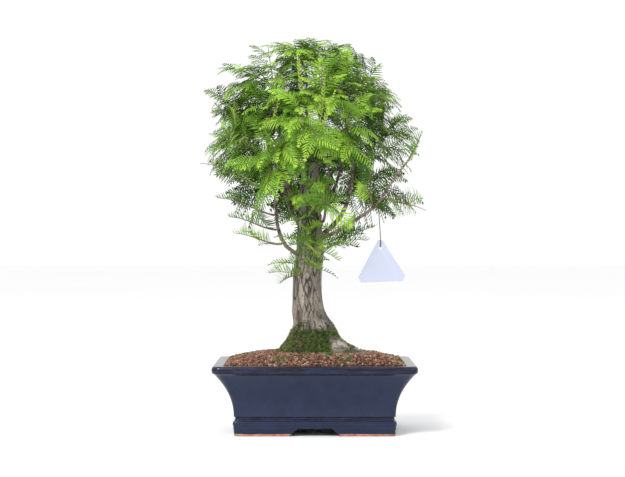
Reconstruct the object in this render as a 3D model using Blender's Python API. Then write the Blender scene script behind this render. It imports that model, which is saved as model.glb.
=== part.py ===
"""Dawn redwood bonsai built together with its glazed pot, for Blender 4.5.

Metres, +Z up. The pot's feet stand on Z = 0 and its long side faces -Y. The origin lies under the
middle of the pot. Each sub-part is one closed object: pot, soil, moss, trunk, leaders, boughs, masses
of foliage, and a hang tag on its wire. Foliage is grown by one seeded rule: every mass has one stem,
side shoots leave it in pairs, and each shoot is a toothed blade that stands for a spray of needles.
"""
import math
import random

import bmesh
import bpy
from mathutils import Vector, kdtree

# Clearance between pieces that touch on the real plant
GAP = 0.0003

# Pot, outside: half sizes at the rim, heights from the feet up
RIM_HALF_X = 0.1555
RIM_HALF_Y = 0.1125
POT_TOP = 0.1079
LIP_BOTTOM = 0.0960
WAIST_HALF_X = 0.1233
GROOVE_TOP = 0.0296
GROOVE_BOTTOM = 0.0235
GROOVE_DEPTH = 0.0020
FLARE = 0.0290
FLARE_POWER = 2.1
BODY_CORNER = 0.006
RIM_CORNER = 0.013
# Pot, inside
FLOOR_TOP = 0.016
INNER_WALL = ((FLOOR_TOP, 0.1125), (0.042, 0.1168), (0.076, 0.1256), (POT_TOP, 0.1375))
INNER_CORNER = 0.006
FLOOR_UNDERSIDE = 0.010
# Pot, feet: an arch in each side leaves one foot at each corner
ARCH_HEIGHT = 0.012
ARCH_HALF_TOP = 0.025
ARCH_HALF_FOOT = 0.040
SIDE_ARCH_SHARE = 0.62
FOOT_WIDTH = 0.016
DRAIN_RADIUS = 0.009
DRAIN_X = 0.062

# Soil and moss
SOIL_EDGE = 0.1065
SOIL_TOP = 0.1215
SOIL_SHOULDER = 0.012
GROUND = SOIL_TOP + GAP
MOSS_PAD = ((GROUND, 0.0105), (0.130, 0.0092), (0.1443, 0.0045), (0.1575, 0.0014))
MOSS_TOP = 0.1575
MOSS_OPEN_STEPS = 2

# Trunk: middle line, radius, and root flare (direction in degrees, reach, half width in degrees)
TRUNK_TOP = 0.4185
TRUNK_SIDES = 26
TRUNK_RINGS = 12
FOOT_RINGS = 4
TRUNK_LINE = (
    (GROUND, (0.0000, 0.000)), (0.160, (-0.0003, 0.000)), (0.191, (-0.0092, 0.001)),
    (0.249, (-0.0100, 0.002)), (0.277, (-0.0062, 0.002)), (0.345, (-0.0086, 0.003)),
    (0.380, (-0.0080, 0.004)), (TRUNK_TOP, (-0.0047, 0.004)),
)
TRUNK_RADIUS = (
    (GROUND, 0.0420), (0.130, 0.0385), (0.1443, 0.0350), (0.160, 0.0322), (0.179, 0.0272),
    (0.204, 0.0233), (0.249, 0.0224), (0.277, 0.0217), (0.318, 0.0192), (0.365, 0.0170),
    (0.395, 0.0145), (TRUNK_TOP, 0.0095),
)
ROOT_TOP = 0.157
ROOT_FALL = 1.5
ROOTS = ((-30, 0.056, 15), (65, 0.010, 26), (150, 0.008, 24), (215, 0.010, 22), (272, 0.006, 20))
FLUTES = ((3, 0.030, 1.0, 9.0), (5, 0.020, 0.2, -14.0))

# Limbs: control points from inside what carries each one to its tip, and radius at both ends
LIMBS = {
    "leader_left": (((-0.0092, 0.0040, 0.4190), (-0.0078, 0.004, 0.452), (-0.0110, 0.003, 0.485),
                     (-0.0137, 0.002, 0.517), (-0.0120, 0.001, 0.548)), 0.0040, 0.0016),
    "leader_right": (((0.0000, 0.0045, 0.4194), (0.0035, 0.006, 0.452), (0.0115, 0.009, 0.487),
                      (0.0180, 0.012, 0.525)), 0.0040, 0.0017),
    "bough_left": (((-0.0120, -0.004, 0.268), (-0.0360, -0.008, 0.281), (-0.0490, -0.013, 0.294),
                    (-0.0575, -0.016, 0.318), (-0.0600, -0.018, 0.3446), (-0.0638, -0.020, 0.3884),
                    (-0.0685, -0.022, 0.4228), (-0.0739, -0.022, 0.4635)), 0.0034, 0.0018),
    "bough_upper_left": (((-0.0100, 0.002, 0.335), (-0.0285, 0.004, 0.354), (-0.0403, 0.006, 0.3775),
                          (-0.0490, 0.010, 0.4072), (-0.0530, 0.014, 0.4385),
                          (-0.0560, 0.018, 0.4700)), 0.0048, 0.0021),
    "bough_inner_right": (((-0.0020, -0.006, 0.318), (0.0125, -0.0135, 0.326),
                           (0.0163, -0.0155, 0.340), (0.0181, -0.0160, 0.3571),
                           (0.0203, -0.0140, 0.3916), (0.0240, -0.0100, 0.4385)), 0.0027, 0.0015),
    "bough_right": (((-0.0020, 0.004, 0.298), (0.0200, 0.010, 0.312), (0.0375, 0.014, 0.3297),
                     (0.0500, 0.016, 0.3520), (0.0585, 0.018, 0.3884), (0.0598, 0.020, 0.4150),
                     (0.0570, 0.022, 0.4400), (0.0489, 0.024, 0.4807)), 0.0044, 0.0020),
    "bough_far_right": (((-0.0040, -0.004, 0.296), (0.0180, -0.010, 0.303), (0.0450, -0.015, 0.3170),
                         (0.0739, -0.018, 0.3357), (0.0965, -0.020, 0.3524),
                         (0.1131, -0.020, 0.3775), (0.1245, -0.019, 0.3947),
                         (0.1441, -0.018, 0.4197)), 0.0034, 0.0015),
    "bough_back_left": (((-0.0080, 0.004, 0.300), (-0.0220, 0.030, 0.318), (-0.0400, 0.055, 0.350),
                         (-0.0520, 0.068, 0.392), (-0.0580, 0.074, 0.435)), 0.0040, 0.0019),
    "bough_back_right": (((-0.0060, 0.004, 0.330), (0.0100, 0.026, 0.346), (0.0300, 0.048, 0.375),
                          (0.0420, 0.058, 0.415), (0.0460, 0.062, 0.455)), 0.0038, 0.0018),
    "bough_back_low": (((-0.0080, 0.004, 0.262), (-0.0060, 0.034, 0.276), (0.0040, 0.062, 0.302),
                        (0.0100, 0.078, 0.335)), 0.0032, 0.0017),
}
LIMB_SIDES = 6
LIMB_RINGS = 10
CUTTER_SWELL = 0.0003

# Masses of foliage: where each stem starts, where its furthest needle ends, how far the stem lifts
# before it gets there, pairs of side shoots, and its kind. A stem starts at a share of its limb's
# length, or at a height and a compass direction (degrees from +X) on the trunk.
MASSES = {
    "foliage_top_left": ("bough_upper_left", 1.0, (-0.074, 0.000, 0.605), 0.10, 3, "full"),
    "foliage_top_middle": ("leader_left", 1.0, (-0.034, -0.014, 0.609), 0.00, 3, "full"),
    "foliage_top_right": ("leader_right", 1.0, (0.016, 0.016, 0.606), 0.05, 3, "full"),
    "foliage_crest_left": ("leader_left", 0.74, (-0.148, -0.012, 0.566), 0.45, 3, "full"),
    "foliage_crest_right": ("bough_right", 1.0, (0.101, 0.010, 0.572), 0.25, 3, "full"),
    "foliage_upper_left": ("bough_upper_left", 0.86, (-0.170, 0.024, 0.535), 0.30, 3, "full"),
    "foliage_shoot_left": ("bough_left", 1.0, (-0.046, -0.060, 0.548), 0.20, 3, "full"),
    "foliage_shoulder_left": ("bough_left", 0.88, (-0.159, -0.040, 0.462), 0.30, 3, "full"),
    "foliage_left_long": ("bough_left", 0.66, (-0.181, -0.030, 0.416), 0.42, 1, "open"),
    "foliage_left_middle": ("bough_left", 0.53, (-0.151, -0.006, 0.363), 0.30, 1, "open"),
    "foliage_left_lower": ("bough_left", 0.41, (-0.131, -0.045, 0.333), 0.25, 1, "open"),
    "foliage_left_lowest": ("bough_left", 0.27, (-0.125, -0.008, 0.308), 0.22, 1, "open"),
    "foliage_front_low": ("trunk", (0.243, -112), (-0.052, -0.072, 0.232), 0.40, 1, "open"),
    "foliage_front_middle": ("trunk", (0.284, -84), (0.006, -0.098, 0.272), 0.40, 1, "open"),
    "foliage_front_upper": ("trunk", (0.352, -70), (0.034, -0.104, 0.340), 0.40, 1, "open"),
    "foliage_right_low": ("trunk", (0.284, -24), (0.092, -0.046, 0.318), 0.20, 1, "open"),
    "foliage_right_lower": ("bough_far_right", 0.64, (0.1745, -0.030, 0.342), 0.25, 1, "open"),
    "foliage_right_tip": ("bough_far_right", 1.0, (0.166, -0.030, 0.462), 0.05, 1, "open"),
    "foliage_right_inner": ("bough_far_right", 0.54, (0.092, -0.046, 0.432), 0.10, 1, "open"),
    "foliage_right_outer": ("bough_right", 0.74, (0.143, 0.022, 0.496), 0.30, 2, "full"),
    "foliage_right_front": ("bough_inner_right", 1.0, (0.072, -0.098, 0.474), 0.35, 3, "full"),
    "foliage_dome_front": ("leader_left", 0.40, (-0.020, -0.142, 0.470), 0.55, 3, "full"),
    "foliage_dome_middle": ("leader_right", 0.34, (0.020, -0.112, 0.545), 0.50, 3, "full"),
    "foliage_dome_right": ("leader_right", 0.66, (0.088, -0.070, 0.545), 0.40, 3, "full"),
    "foliage_dome_left": ("bough_upper_left", 0.60, (-0.074, -0.112, 0.440), 0.40, 3, "full"),
    "foliage_back_top": ("leader_right", 0.84, (-0.010, 0.092, 0.588), 0.35, 3, "full"),
    "foliage_back_left": ("bough_back_left", 1.0, (-0.104, 0.112, 0.520), 0.20, 2, "full"),
    "foliage_back_right": ("bough_back_right", 1.0, (0.078, 0.116, 0.530), 0.20, 2, "full"),
    "foliage_back_middle": ("bough_back_right", 0.60, (0.012, 0.142, 0.452), 0.35, 2, "full"),
    "foliage_back_side": ("bough_back_right", 0.44, (0.126, 0.084, 0.414), 0.30, 2, "full"),
    "foliage_back_wide": ("bough_back_left", 0.60, (-0.132, 0.090, 0.420), 0.30, 2, "full"),
    "foliage_back_low": ("bough_back_low", 1.0, (-0.030, 0.130, 0.372), 0.15, 2, "full"),
    "foliage_back_lowest": ("bough_back_low", 0.52, (0.066, 0.092, 0.312), 0.25, 1, "open"),
}
# A kind's length of shoot, how far needles stand out from a shoot's middle, the angle at which
# shoots leave the stem and the turn around the stem from one pair to the next, in degrees
KINDS = {"open": (0.062, 0.018, 54, 34), "full": (0.068, 0.022, 52, 78)}
# Outline of the crown: height, reach to the left and to the right
CROWN_OUTLINE = (
    (0.225, 0.075, 0.050), (0.310, 0.128, 0.100), (0.345, 0.140, 0.174), (0.418, 0.181, 0.172),
    (0.460, 0.162, 0.166), (0.500, 0.165, 0.146), (0.537, 0.171, 0.122), (0.567, 0.150, 0.108),
    (0.590, 0.120, 0.085), (0.609, 0.090, 0.045),
)
CROWN_DEPTH = 0.142
CROWN_MIDDLE = (-0.010, 0.0, 0.450)
STEM_RADIUS = (0.0017, 0.0009)
STEM_SHARE = 0.58
STEM_RINGS = 5
SITE_SHARES = (0.40, 0.70, 1.0)
CELL_MARGIN = 0.0012
LIMB_MARGIN = 0.0013
SHOOT_WANDER = 12
SHOOT_ROLL = 24
SHOOT_HEADINGS = 5
SHOOT_DROOP = 0.16
SHOOT_LENGTHS = (1.0, 0.86, 0.72, 0.60)
SHOOT_SPACING = 0.0045
SEED = 7

# Toothed blade that stands for a spray of needles
BLADE_TEETH = 4
BLADE_HALF_THICKNESS = 0.0007
BLADE_CORE = 0.0013
BLADE_BARE = 0.12
BLADE_END = 0.92
TOOTH_FALL = 0.22

# Hang tag on its wire
TAG_HOLE = (0.1021, 0.2849)
TAG_HALF_WIDTH = 0.0363
TAG_ABOVE_HOLE = 0.0125
TAG_BELOW_HOLE = 0.0520
TAG_APEX_HALF = 0.0035
TAG_CORNER_RISE = 0.0085
TAG_CORNER_RUN = 0.0035
TAG_THICKNESS = 0.0009
TAG_HOLE_RADIUS = 0.0025
TAG_TILT = 2.3
TAG_LIMB_X = 0.0986
WIRE_RADIUS = 0.0006
WIRE_TAIL = 0.006


# Small tools

def material(name, colour, roughness, metallic=0.0):
    """A Principled material of one colour."""
    made = bpy.data.materials.get(name)
    if made:
        return made
    made = bpy.data.materials.new(name)
    made.use_nodes = True
    shader = made.node_tree.nodes["Principled BSDF"]
    shader.inputs["Base Color"].default_value = (*colour, 1.0)
    shader.inputs["Roughness"].default_value = roughness
    shader.inputs["Metallic"].default_value = metallic
    return made


def add_object(name, vertices, faces, finish, smooth=False):
    """One mesh object with its normals pointing out."""
    mesh = bpy.data.meshes.new(name)
    mesh.from_pydata([tuple(v) for v in vertices], [], faces)
    shape = bmesh.new()
    shape.from_mesh(mesh)
    bmesh.ops.recalc_face_normals(shape, faces=shape.faces)
    shape.to_mesh(mesh)
    shape.free()
    if smooth:
        mesh.shade_smooth()
        mesh.set_sharp_from_angle(angle=math.radians(40))
    mesh.materials.append(finish)
    made = bpy.data.objects.new(name, mesh)
    bpy.context.scene.collection.objects.link(made)
    return made


def settle(thing):
    """Turn the object's modifiers into mesh."""
    bpy.context.view_layer.update()
    graph = bpy.context.evaluated_depsgraph_get()
    baked = bpy.data.meshes.new_from_object(thing.evaluated_get(graph))
    thing.modifiers.clear()
    thing.data = baked
    baked.name = thing.name


def cut(thing, cutters):
    """Take the cutters away from a piece and remove them."""
    for cutter in cutters:
        step = thing.modifiers.new("cut", "BOOLEAN")
        step.operation = "DIFFERENCE"
        step.solver = "EXACT"
        step.object = cutter
        settle(thing)
        bpy.data.objects.remove(cutter)


def keep_largest(thing):
    """Drop loose scraps and fill sealed hollows: only the largest shell of the mesh stays."""
    shape = bmesh.new()
    shape.from_mesh(thing.data)
    left = set(shape.faces)
    shells = []
    while left:
        shell = {left.pop()}
        edge_of_shell = list(shell)
        while edge_of_shell:
            face = edge_of_shell.pop()
            for edge in face.edges:
                for other in edge.link_faces:
                    if other in left:
                        left.remove(other)
                        shell.add(other)
                        edge_of_shell.append(other)
        shells.append(shell)
    shells.sort(key=len)
    for shell in shells[:-1]:
        bmesh.ops.delete(shape, geom=list(shell), context="FACES")
    shape.to_mesh(thing.data)
    shape.free()


def fuse(body, parts):
    """Join the parts to the body by one Boolean union on a collection, then remove them."""
    group = bpy.data.collections.new(body.name)
    for part in parts:
        bpy.context.scene.collection.objects.unlink(part)
        group.objects.link(part)
    step = body.modifiers.new("fuse", "BOOLEAN")
    step.operation = "UNION"
    step.solver = "EXACT"
    step.operand_type = "COLLECTION"
    step.collection = group
    settle(body)
    for part in parts:
        bpy.data.objects.remove(part)
    bpy.data.collections.remove(group)
    keep_largest(body)


def smooth_value(rows, at):
    """Smooth value of a table of (place, value) rows, where a value is a number or a Vector."""
    last = len(rows) - 1
    at = min(max(at, rows[0][0]), rows[last][0])
    low = max(k for k in range(last) if rows[k][0] <= at)

    def slope(k):
        before, after = max(k - 1, 0), min(k + 1, last)
        return (rows[after][1] - rows[before][1]) * (1.0 / (rows[after][0] - rows[before][0]))

    span = rows[low + 1][0] - rows[low][0]
    u = (at - rows[low][0]) / span
    start, end = rows[low][1], rows[low + 1][1]
    swing = u * u * (3 - 2 * u)
    leave = u * (1 - u) * (1 - u) * span
    arrive = -u * u * (1 - u) * span
    return start + (end - start) * swing + slope(low) * leave + slope(low + 1) * arrive


def bezier(ends, t):
    """Point at t of the cubic curve with the four given points."""
    a, b, c, d = ends
    u = 1.0 - t
    return a * (u ** 3) + b * (3 * u * u * t) + c * (3 * u * t * t) + d * (t ** 3)


def across(direction, guide):
    """The part of the guide that is square to the direction, one long."""
    square = guide - direction * guide.dot(direction)
    return square.normalized()


def tube(points, radii, sides):
    """Vertices and faces of a closed tube along the points."""
    vertices, faces = [], []
    count = len(points)
    side = None
    for k, point in enumerate(points):
        along = (points[min(k + 1, count - 1)] - points[max(k - 1, 0)]).normalized()
        side = across(along, side if side else Vector((0.31, -0.87, 0.13)))
        other = along.cross(side)
        for j in range(sides):
            turn = 2 * math.pi * j / sides
            vertices.append(point + (side * math.cos(turn) + other * math.sin(turn)) * radii[k])
    for k in range(count - 1):
        for j in range(sides):
            a, b = k * sides + j, k * sides + (j + 1) % sides
            faces.append((a, b, b + sides, a + sides))
    faces.append(tuple(range(sides)))
    faces.append(tuple(range((count - 1) * sides, count * sides)))
    return vertices, faces


def loft(loops):
    """Vertices and faces of a closed body through loops of equal count, capped at both ends."""
    size = len(loops[0])
    vertices = [point for loop in loops for point in loop]
    faces = [tuple(range(size)), tuple(range((len(loops) - 1) * size, len(loops) * size))]
    for k in range(len(loops) - 1):
        for j in range(size):
            a, b = k * size + j, k * size + (j + 1) % size
            faces.append((a, b, b + size, a + size))
    return vertices, faces


# Pot and soil

def rounded_rectangle(half_x, half_y, corner, z, side_points=(0, 0)):
    """Loop of points around a rectangle with round corners; side_points are added along the sides."""
    loop = []
    steps = 3
    for turn in range(4):
        mid_x = (half_x - corner) * (1 if turn in (0, 3) else -1)
        mid_y = (half_y - corner) * (1 if turn in (0, 1) else -1)
        for k in range(steps + 1):
            angle = math.radians(90 * (turn + k / steps))
            loop.append(Vector((mid_x + corner * math.cos(angle), mid_y + corner * math.sin(angle), z)))
        more = side_points[turn % 2]
        start = loop[-1]
        ahead = math.radians(90 * (turn + 1))
        straight = 2 * ((half_x if turn % 2 == 0 else half_y) - corner)
        heading = Vector((-math.sin(ahead), math.cos(ahead), 0))
        for k in range(more):
            loop.append(start + heading * straight * (k + 1) / (more + 1))
    return loop


def pot_loop(half_x, z, corner):
    """Loop of the pot whose long half side is half_x: every side is set in alike."""
    return rounded_rectangle(half_x, half_x - RIM_HALF_X + RIM_HALF_Y, corner, z)


def flare_half(z):
    """Half length of the pot's hollow-curved body at a height."""
    rise = (z - GROOVE_TOP) / (LIP_BOTTOM - GROOVE_TOP)
    return WAIST_HALF_X + FLARE * rise ** FLARE_POWER


def inner_half(z):
    """Half length of the pot's inside at a height: straight between the heights of INNER_WALL."""
    for (low, half), (high, next_half) in zip(INNER_WALL, INNER_WALL[1:]):
        if z <= high:
            return half + (next_half - half) * (z - low) / (high - low)
    return INNER_WALL[-1][1]


def prism(name, outline, depth, finish, along_y=True):
    """Bar with a flat outline of (across, height) points, running along Y or X, for cutting."""
    points = []
    for end in (-depth, depth):
        for place, height in outline:
            points.append((place, end, height) if along_y else (end, place, height))
    size = len(outline)
    faces = [tuple(range(size)), tuple(range(size, 2 * size))]
    for j in range(size):
        k = (j + 1) % size
        faces.append((j, k, k + size, j + size))
    return add_object(name, points, faces, finish)


def make_pot():
    """Glazed pot: lip, hollow-curved body, groove, moulded base, four corner feet, drain holes."""
    glaze = material("navy_glaze", (0.030, 0.040, 0.085), 0.22)
    groove_half = WAIST_HALF_X - GROOVE_DEPTH
    outside = [(0.0, 0.1214, 0.004), (0.0022, 0.1227, 0.005), (0.0110, 0.1237, 0.006),
               (0.0165, 0.1247, 0.006), (0.0215, 0.1240, 0.006),
               (GROOVE_BOTTOM, groove_half, 0.006), (GROOVE_TOP - 0.0008, groove_half, 0.006)]
    levels = 7
    for k in range(levels):
        z = GROOVE_TOP + (LIP_BOTTOM - GROOVE_TOP) * k / (levels - 1)
        outside.append((z, flare_half(z), BODY_CORNER + (RIM_CORNER - BODY_CORNER) * (k / levels) ** 2))
    outside += [(LIP_BOTTOM + 0.0015, 0.1547, RIM_CORNER), (0.1022, RIM_HALF_X, RIM_CORNER),
                (0.1058, 0.1548, RIM_CORNER), (POT_TOP, 0.1528, RIM_CORNER - 0.002)]
    loops = [pot_loop(half, z, corner) for z, half, corner in outside]
    loops += [pot_loop(half, z, INNER_CORNER) for z, half in reversed(INNER_WALL)]
    vertices, faces = loft(loops)
    pot = add_object("pot", vertices, faces, glaze, smooth=True)

    base_half_x = outside[1][1]
    base_half_y = base_half_x - RIM_HALF_X + RIM_HALF_Y
    below = -0.01
    recess = loft([rounded_rectangle(base_half_x - FOOT_WIDTH, base_half_y - FOOT_WIDTH, 0.003, z)
                   for z in (below, FLOOR_UNDERSIDE)])
    cutters = [add_object("recess", *recess, glaze)]
    for share, along_y in ((1.0, True), (SIDE_ARCH_SHARE, False)):
        slope = (ARCH_HALF_FOOT - ARCH_HALF_TOP) / ARCH_HEIGHT
        wide = (ARCH_HALF_FOOT - below * slope) * share
        outline = [(-wide, below), (wide, below), (ARCH_HALF_TOP * share, ARCH_HEIGHT - 0.0001),
                   (-ARCH_HALF_TOP * share, ARCH_HEIGHT - 0.0001)]
        cutters.append(prism("arch", outline, 0.2, glaze, along_y))
    for side in (-1, 1):
        ends = [Vector((side * DRAIN_X, 0, z)) for z in (FLOOR_UNDERSIDE - 0.005, FLOOR_TOP + 0.005)]
        cutters.append(add_object("drain", *tube(ends, [DRAIN_RADIUS] * 2, 16), glaze))
    cut(pot, cutters)
    return pot


def plateau_radius(angle):
    """How far the level top of the soil reaches from the middle: past the trunk's foot and roots."""
    nearby = (angle + math.radians(turn) for turn in (-9, -4, 0, 4, 9))
    return max(trunk_radius(a, GROUND) for a in nearby) + SOIL_SHOULDER


def make_soil():
    """Soil that fills the pot and rises to a level top under the trunk."""
    grit = material("grit_soil", (0.235, 0.120, 0.080), 0.95)
    side_points = (8, 5)
    offset = RIM_HALF_X - RIM_HALF_Y
    loops = []
    for z in (FLOOR_TOP + GAP, INNER_WALL[1][0], INNER_WALL[2][0], SOIL_EDGE):
        half = inner_half(z) - GAP
        loops.append(rounded_rectangle(half, half - offset, INNER_CORNER - GAP, z, side_points))
    edge = loops[-1]
    for share in (0.16, 0.45, 0.75, 1.0):
        loop = []
        for point in edge:
            angle = math.atan2(point.y, point.x)
            reach = plateau_radius(angle)
            top = Vector((reach * math.cos(angle), reach * math.sin(angle), SOIL_TOP))
            place = point.lerp(top, share)
            place.z = SOIL_EDGE + (SOIL_TOP - SOIL_EDGE) * math.sin(share * math.pi / 2)
            loop.append(place)
        loops.append(loop)
    return add_object("soil", *loft(loops), grit)


# Trunk and moss

def trunk_middle(z):
    """Middle of the trunk at a height."""
    rows = [(height, Vector((x, y, 0))) for height, (x, y) in TRUNK_LINE]
    place = smooth_value(rows, z)
    return Vector((place.x, place.y, z))


def trunk_radius(angle, z):
    """Radius of the trunk at a height in a direction: taper, shallow flutes and root flare."""
    flute = 1.0
    for count, depth, start, twist in FLUTES:
        flute += depth * math.cos(count * angle + start + twist * z)
    radius = smooth_value(TRUNK_RADIUS, z) * flute
    if z < ROOT_TOP:
        height = (1 - (z - GROUND) / (ROOT_TOP - GROUND)) ** ROOT_FALL
        for direction, reach, width in ROOTS:
            turn = (math.degrees(angle) - direction + 180) % 360 - 180
            radius += reach * height * math.exp(-(turn / width) ** 2)
    return radius


def trunk_angles():
    """Directions of the trunk's edges; the first one runs along the main root."""
    start = math.radians(ROOTS[0][0])
    return [start + 2 * math.pi * k / TRUNK_SIDES for k in range(TRUNK_SIDES)]


def foot_levels():
    """Heights of the trunk's rings from the ground to the top of the moss."""
    return [GROUND + (MOSS_TOP - GROUND) * k / FOOT_RINGS for k in range(FOOT_RINGS + 1)]


def trunk_point(angle, z, extra=0.0):
    """Point on the trunk, or just outside it."""
    reach = trunk_radius(angle, z) + extra
    return trunk_middle(z) + Vector((math.cos(angle), math.sin(angle), 0)) * reach


def trunk_shape(extra=0.0):
    """Vertices and faces of the trunk, grown by extra all round."""
    levels = foot_levels()
    levels += [MOSS_TOP + (TRUNK_TOP - MOSS_TOP) * (k + 1) / TRUNK_RINGS for k in range(TRUNK_RINGS)]
    return loft([[trunk_point(angle, z, extra) for angle in trunk_angles()] for z in levels])


def make_trunk():
    """Trunk from its flat cut at the ground to the flat top that carries the two leaders."""
    bark = material("bark", (0.185, 0.150, 0.125), 0.85)
    return add_object("trunk", *trunk_shape(), bark, smooth=True)


def make_moss():
    """Moss around the trunk's foot, open where the main root comes out."""
    green = material("moss", (0.060, 0.105, 0.022), 0.95)
    first, last = MOSS_OPEN_STEPS, TRUNK_SIDES - MOSS_OPEN_STEPS
    levels = foot_levels()
    loops = []
    for k in range(first, last + 1):
        angle = trunk_angles()[k]
        end_share = min(k - first, last - k, 3) / 3
        swell = (0.30 + 0.70 * end_share) * (1 + 0.18 * math.cos(4 * angle + 0.7))
        inner = [trunk_point(angle, z, GAP) for z in levels]
        outer = [trunk_point(angle, z, GAP + smooth_value(MOSS_PAD, z) * swell) for z in levels]
        loops.append(inner + outer[::-1])
    return add_object("moss", *loft(loops), green, smooth=True)


# Limbs

def limb_knots(name):
    """Middles of a limb's rings, evenly dealt along a smooth curve through its control points."""
    points = LIMBS[name][0]
    last = len(points) - 1
    rows = [(k / last, Vector(point)) for k, point in enumerate(points)]
    return [smooth_value(rows, k / (LIMB_RINGS - 1)) for k in range(LIMB_RINGS)]


def limb_point(name, share):
    """Middle of a limb at a share of its length, straight between its rings."""
    knots = KNOTS[name]
    place = share * (LIMB_RINGS - 1)
    low = min(int(place), LIMB_RINGS - 2)
    return knots[low].lerp(knots[low + 1], place - low)


def limb_radius(name, share):
    """Radius of a limb at a share of its length."""
    start, end = LIMBS[name][1:]
    return end + (start - end) * (1 - share) ** 1.15


def limb_direction(name, share):
    """Direction in which a limb grows at a share of its length."""
    step = 0.02
    ahead = limb_point(name, min(share + step, 1.0))
    return (ahead - limb_point(name, max(share - step, 0.0))).normalized()


def make_limb(name):
    """One tapering limb. A bough's foot is cut to the trunk's round, a leader stands on its top."""
    bark = material("limb_bark", (0.210, 0.160, 0.130), 0.80)
    radii = [limb_radius(name, k / (LIMB_RINGS - 1)) for k in range(LIMB_RINGS)]
    limb = add_object(name, *tube(KNOTS[name], radii, LIMB_SIDES), bark, smooth=True)
    if not name.startswith("leader"):
        cut(limb, [add_object("trunk_cutter", *trunk_shape(CUTTER_SWELL), bark)])
        keep_largest(limb)
    return limb


# Foliage: the growing rule

def mass_foot(name):
    """Place on the trunk or a limb where a mass starts, and the direction that is square to it."""
    carrier, place, tip = MASSES[name][:3]
    if carrier == "trunk":
        z, degrees = place
        angle = math.radians(degrees)
        return trunk_point(angle, z), Vector((math.cos(angle), math.sin(angle), 0))
    along = limb_direction(carrier, place)
    here = limb_point(carrier, place)
    if place == 1.0:
        return here, along
    outward = across(along, Vector(tip) - here)
    return here + outward * limb_radius(carrier, place), outward


def mass_line(name):
    """The four points of the curve from a mass's root to its furthest needle."""
    tip, lift = MASSES[name][2:4]
    foot, outward = mass_foot(name)
    tip = Vector(tip)
    span = (tip - foot).length
    ahead = (tip - foot).normalized()
    up = Vector((0, 0, 1))
    rise = (ahead + up * lift).normalized()
    fall = (ahead - up * lift).normalized()
    start = (outward * 1.4 + rise).normalized()
    lean = math.sqrt(max(1 - start.dot(outward) ** 2, 0))
    root = foot + outward * (GAP + STEM_RADIUS[0] * lean)
    return root, root + start * span * 0.30, tip - fall * span * 0.34, tip


def lookup(rows):
    """Search tree of rows that start with a point, together with the rows."""
    tree = kdtree.KDTree(len(rows))
    for k, row in enumerate(rows):
        tree.insert(row[0], k)
    tree.balance()
    return tree, rows


def crown_map():
    """What a spray has to look out for: places of all masses, and wood with its radius.

    A mass's own space is what lies nearest to its own places.
    """
    sites, wood = [], []
    for name in MASSES:
        line = mass_line(name)
        sites += [(bezier(line, share), name) for share in SITE_SHARES]
        wood += [(bezier(line, STEM_SHARE * k / 30), name, STEM_RADIUS[0]) for k in range(31)]
    for name in LIMBS:
        wood += [(limb_point(name, k / 60), name, limb_radius(name, k / 60)) for k in range(61)]
    wood += [(point, "wire", WIRE_RADIUS) for point in wire_line()]
    return lookup(sites), lookup(wood)


def in_crown(point):
    """Is the point inside the crown's outline, which is an oval at each height?"""
    rows = [(z, Vector((left, right, 0))) for z, left, right in CROWN_OUTLINE]
    if not rows[0][0] < point.z < rows[-1][0]:
        return False
    left, right = smooth_value(rows, point.z).xy
    depth = min(CROWN_DEPTH, 0.85 * (left + right) / 2)
    return (point.x / (left if point.x < 0 else right)) ** 2 + (point.y / depth) ** 2 < 1


def in_own_space(point, name, sites):
    """Is the point nearer to its own mass's places than to any other mass's?"""
    tree, rows = sites
    own, other = None, None
    for _, k, distance in tree.find_n(point, len(SITE_SHARES) + 1):
        if rows[k][1] == name:
            own = distance if own is None else own
        elif other is None:
            other = distance
    return own is not None and own + 2 * CELL_MARGIN < other


def is_clear(point, name, wood):
    """Is the point clear of trunk, limbs, other masses' stems, wire and tag?"""
    tree, rows = wood
    widest = max(row[2] for row in rows)
    for _, k, distance in tree.find_range(point, widest + LIMB_MARGIN):
        if rows[k][1] != name and distance < rows[k][2] + LIMB_MARGIN:
            return False
    if point.z < TRUNK_TOP + 0.004:
        offset = point - trunk_middle(point.z)
        angle = math.atan2(offset.y, offset.x)
        if math.hypot(offset.x, offset.y) < trunk_radius(angle, point.z) + LIMB_MARGIN:
            return False
    hole_x, hole_z = TAG_HOLE
    beside_tag = abs(point.x - hole_x) < TAG_HALF_WIDTH + 0.006 and abs(point.y - wire_plane()) < 0.006
    return not (beside_tag and point.z < hole_z + TAG_ABOVE_HOLE + 0.003)


def blade_side(line, share):
    """Middle, direction, normal and side of a spray at a share of its length.

    The normal turns away from the crown's middle and up, as the spray's halfway point sees them.
    """
    step = 0.03
    halfway = bezier(line, 0.5)
    main = (bezier(line, 0.75) - bezier(line, 0.25)).normalized()
    guide = (halfway - Vector(CROWN_MIDDLE)).normalized() + Vector((0, 0, 0.6))
    if abs(guide.normalized().dot(main)) > 0.97:
        guide = Vector((0, 0, 1)) if abs(main.z) < 0.8 else Vector((0, -1, 0))
    guide = across(main, guide)
    here = bezier(line, share)
    along = (bezier(line, min(share + step, 1)) - bezier(line, max(share - step, 0))).normalized()
    normal = across(along, guide)
    return here, along, normal, along.cross(normal)


def needle_reach(share, length, kind):
    """How far the needles stand out from the middle of a spray at a share of its length."""
    widest = min(KINDS[kind][1], length * 0.30)
    return widest * (0.62 + 0.38 * math.sin(math.pi * min(share * 1.15, 1.0))) * (1 - 0.45 * share ** 3)


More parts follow.
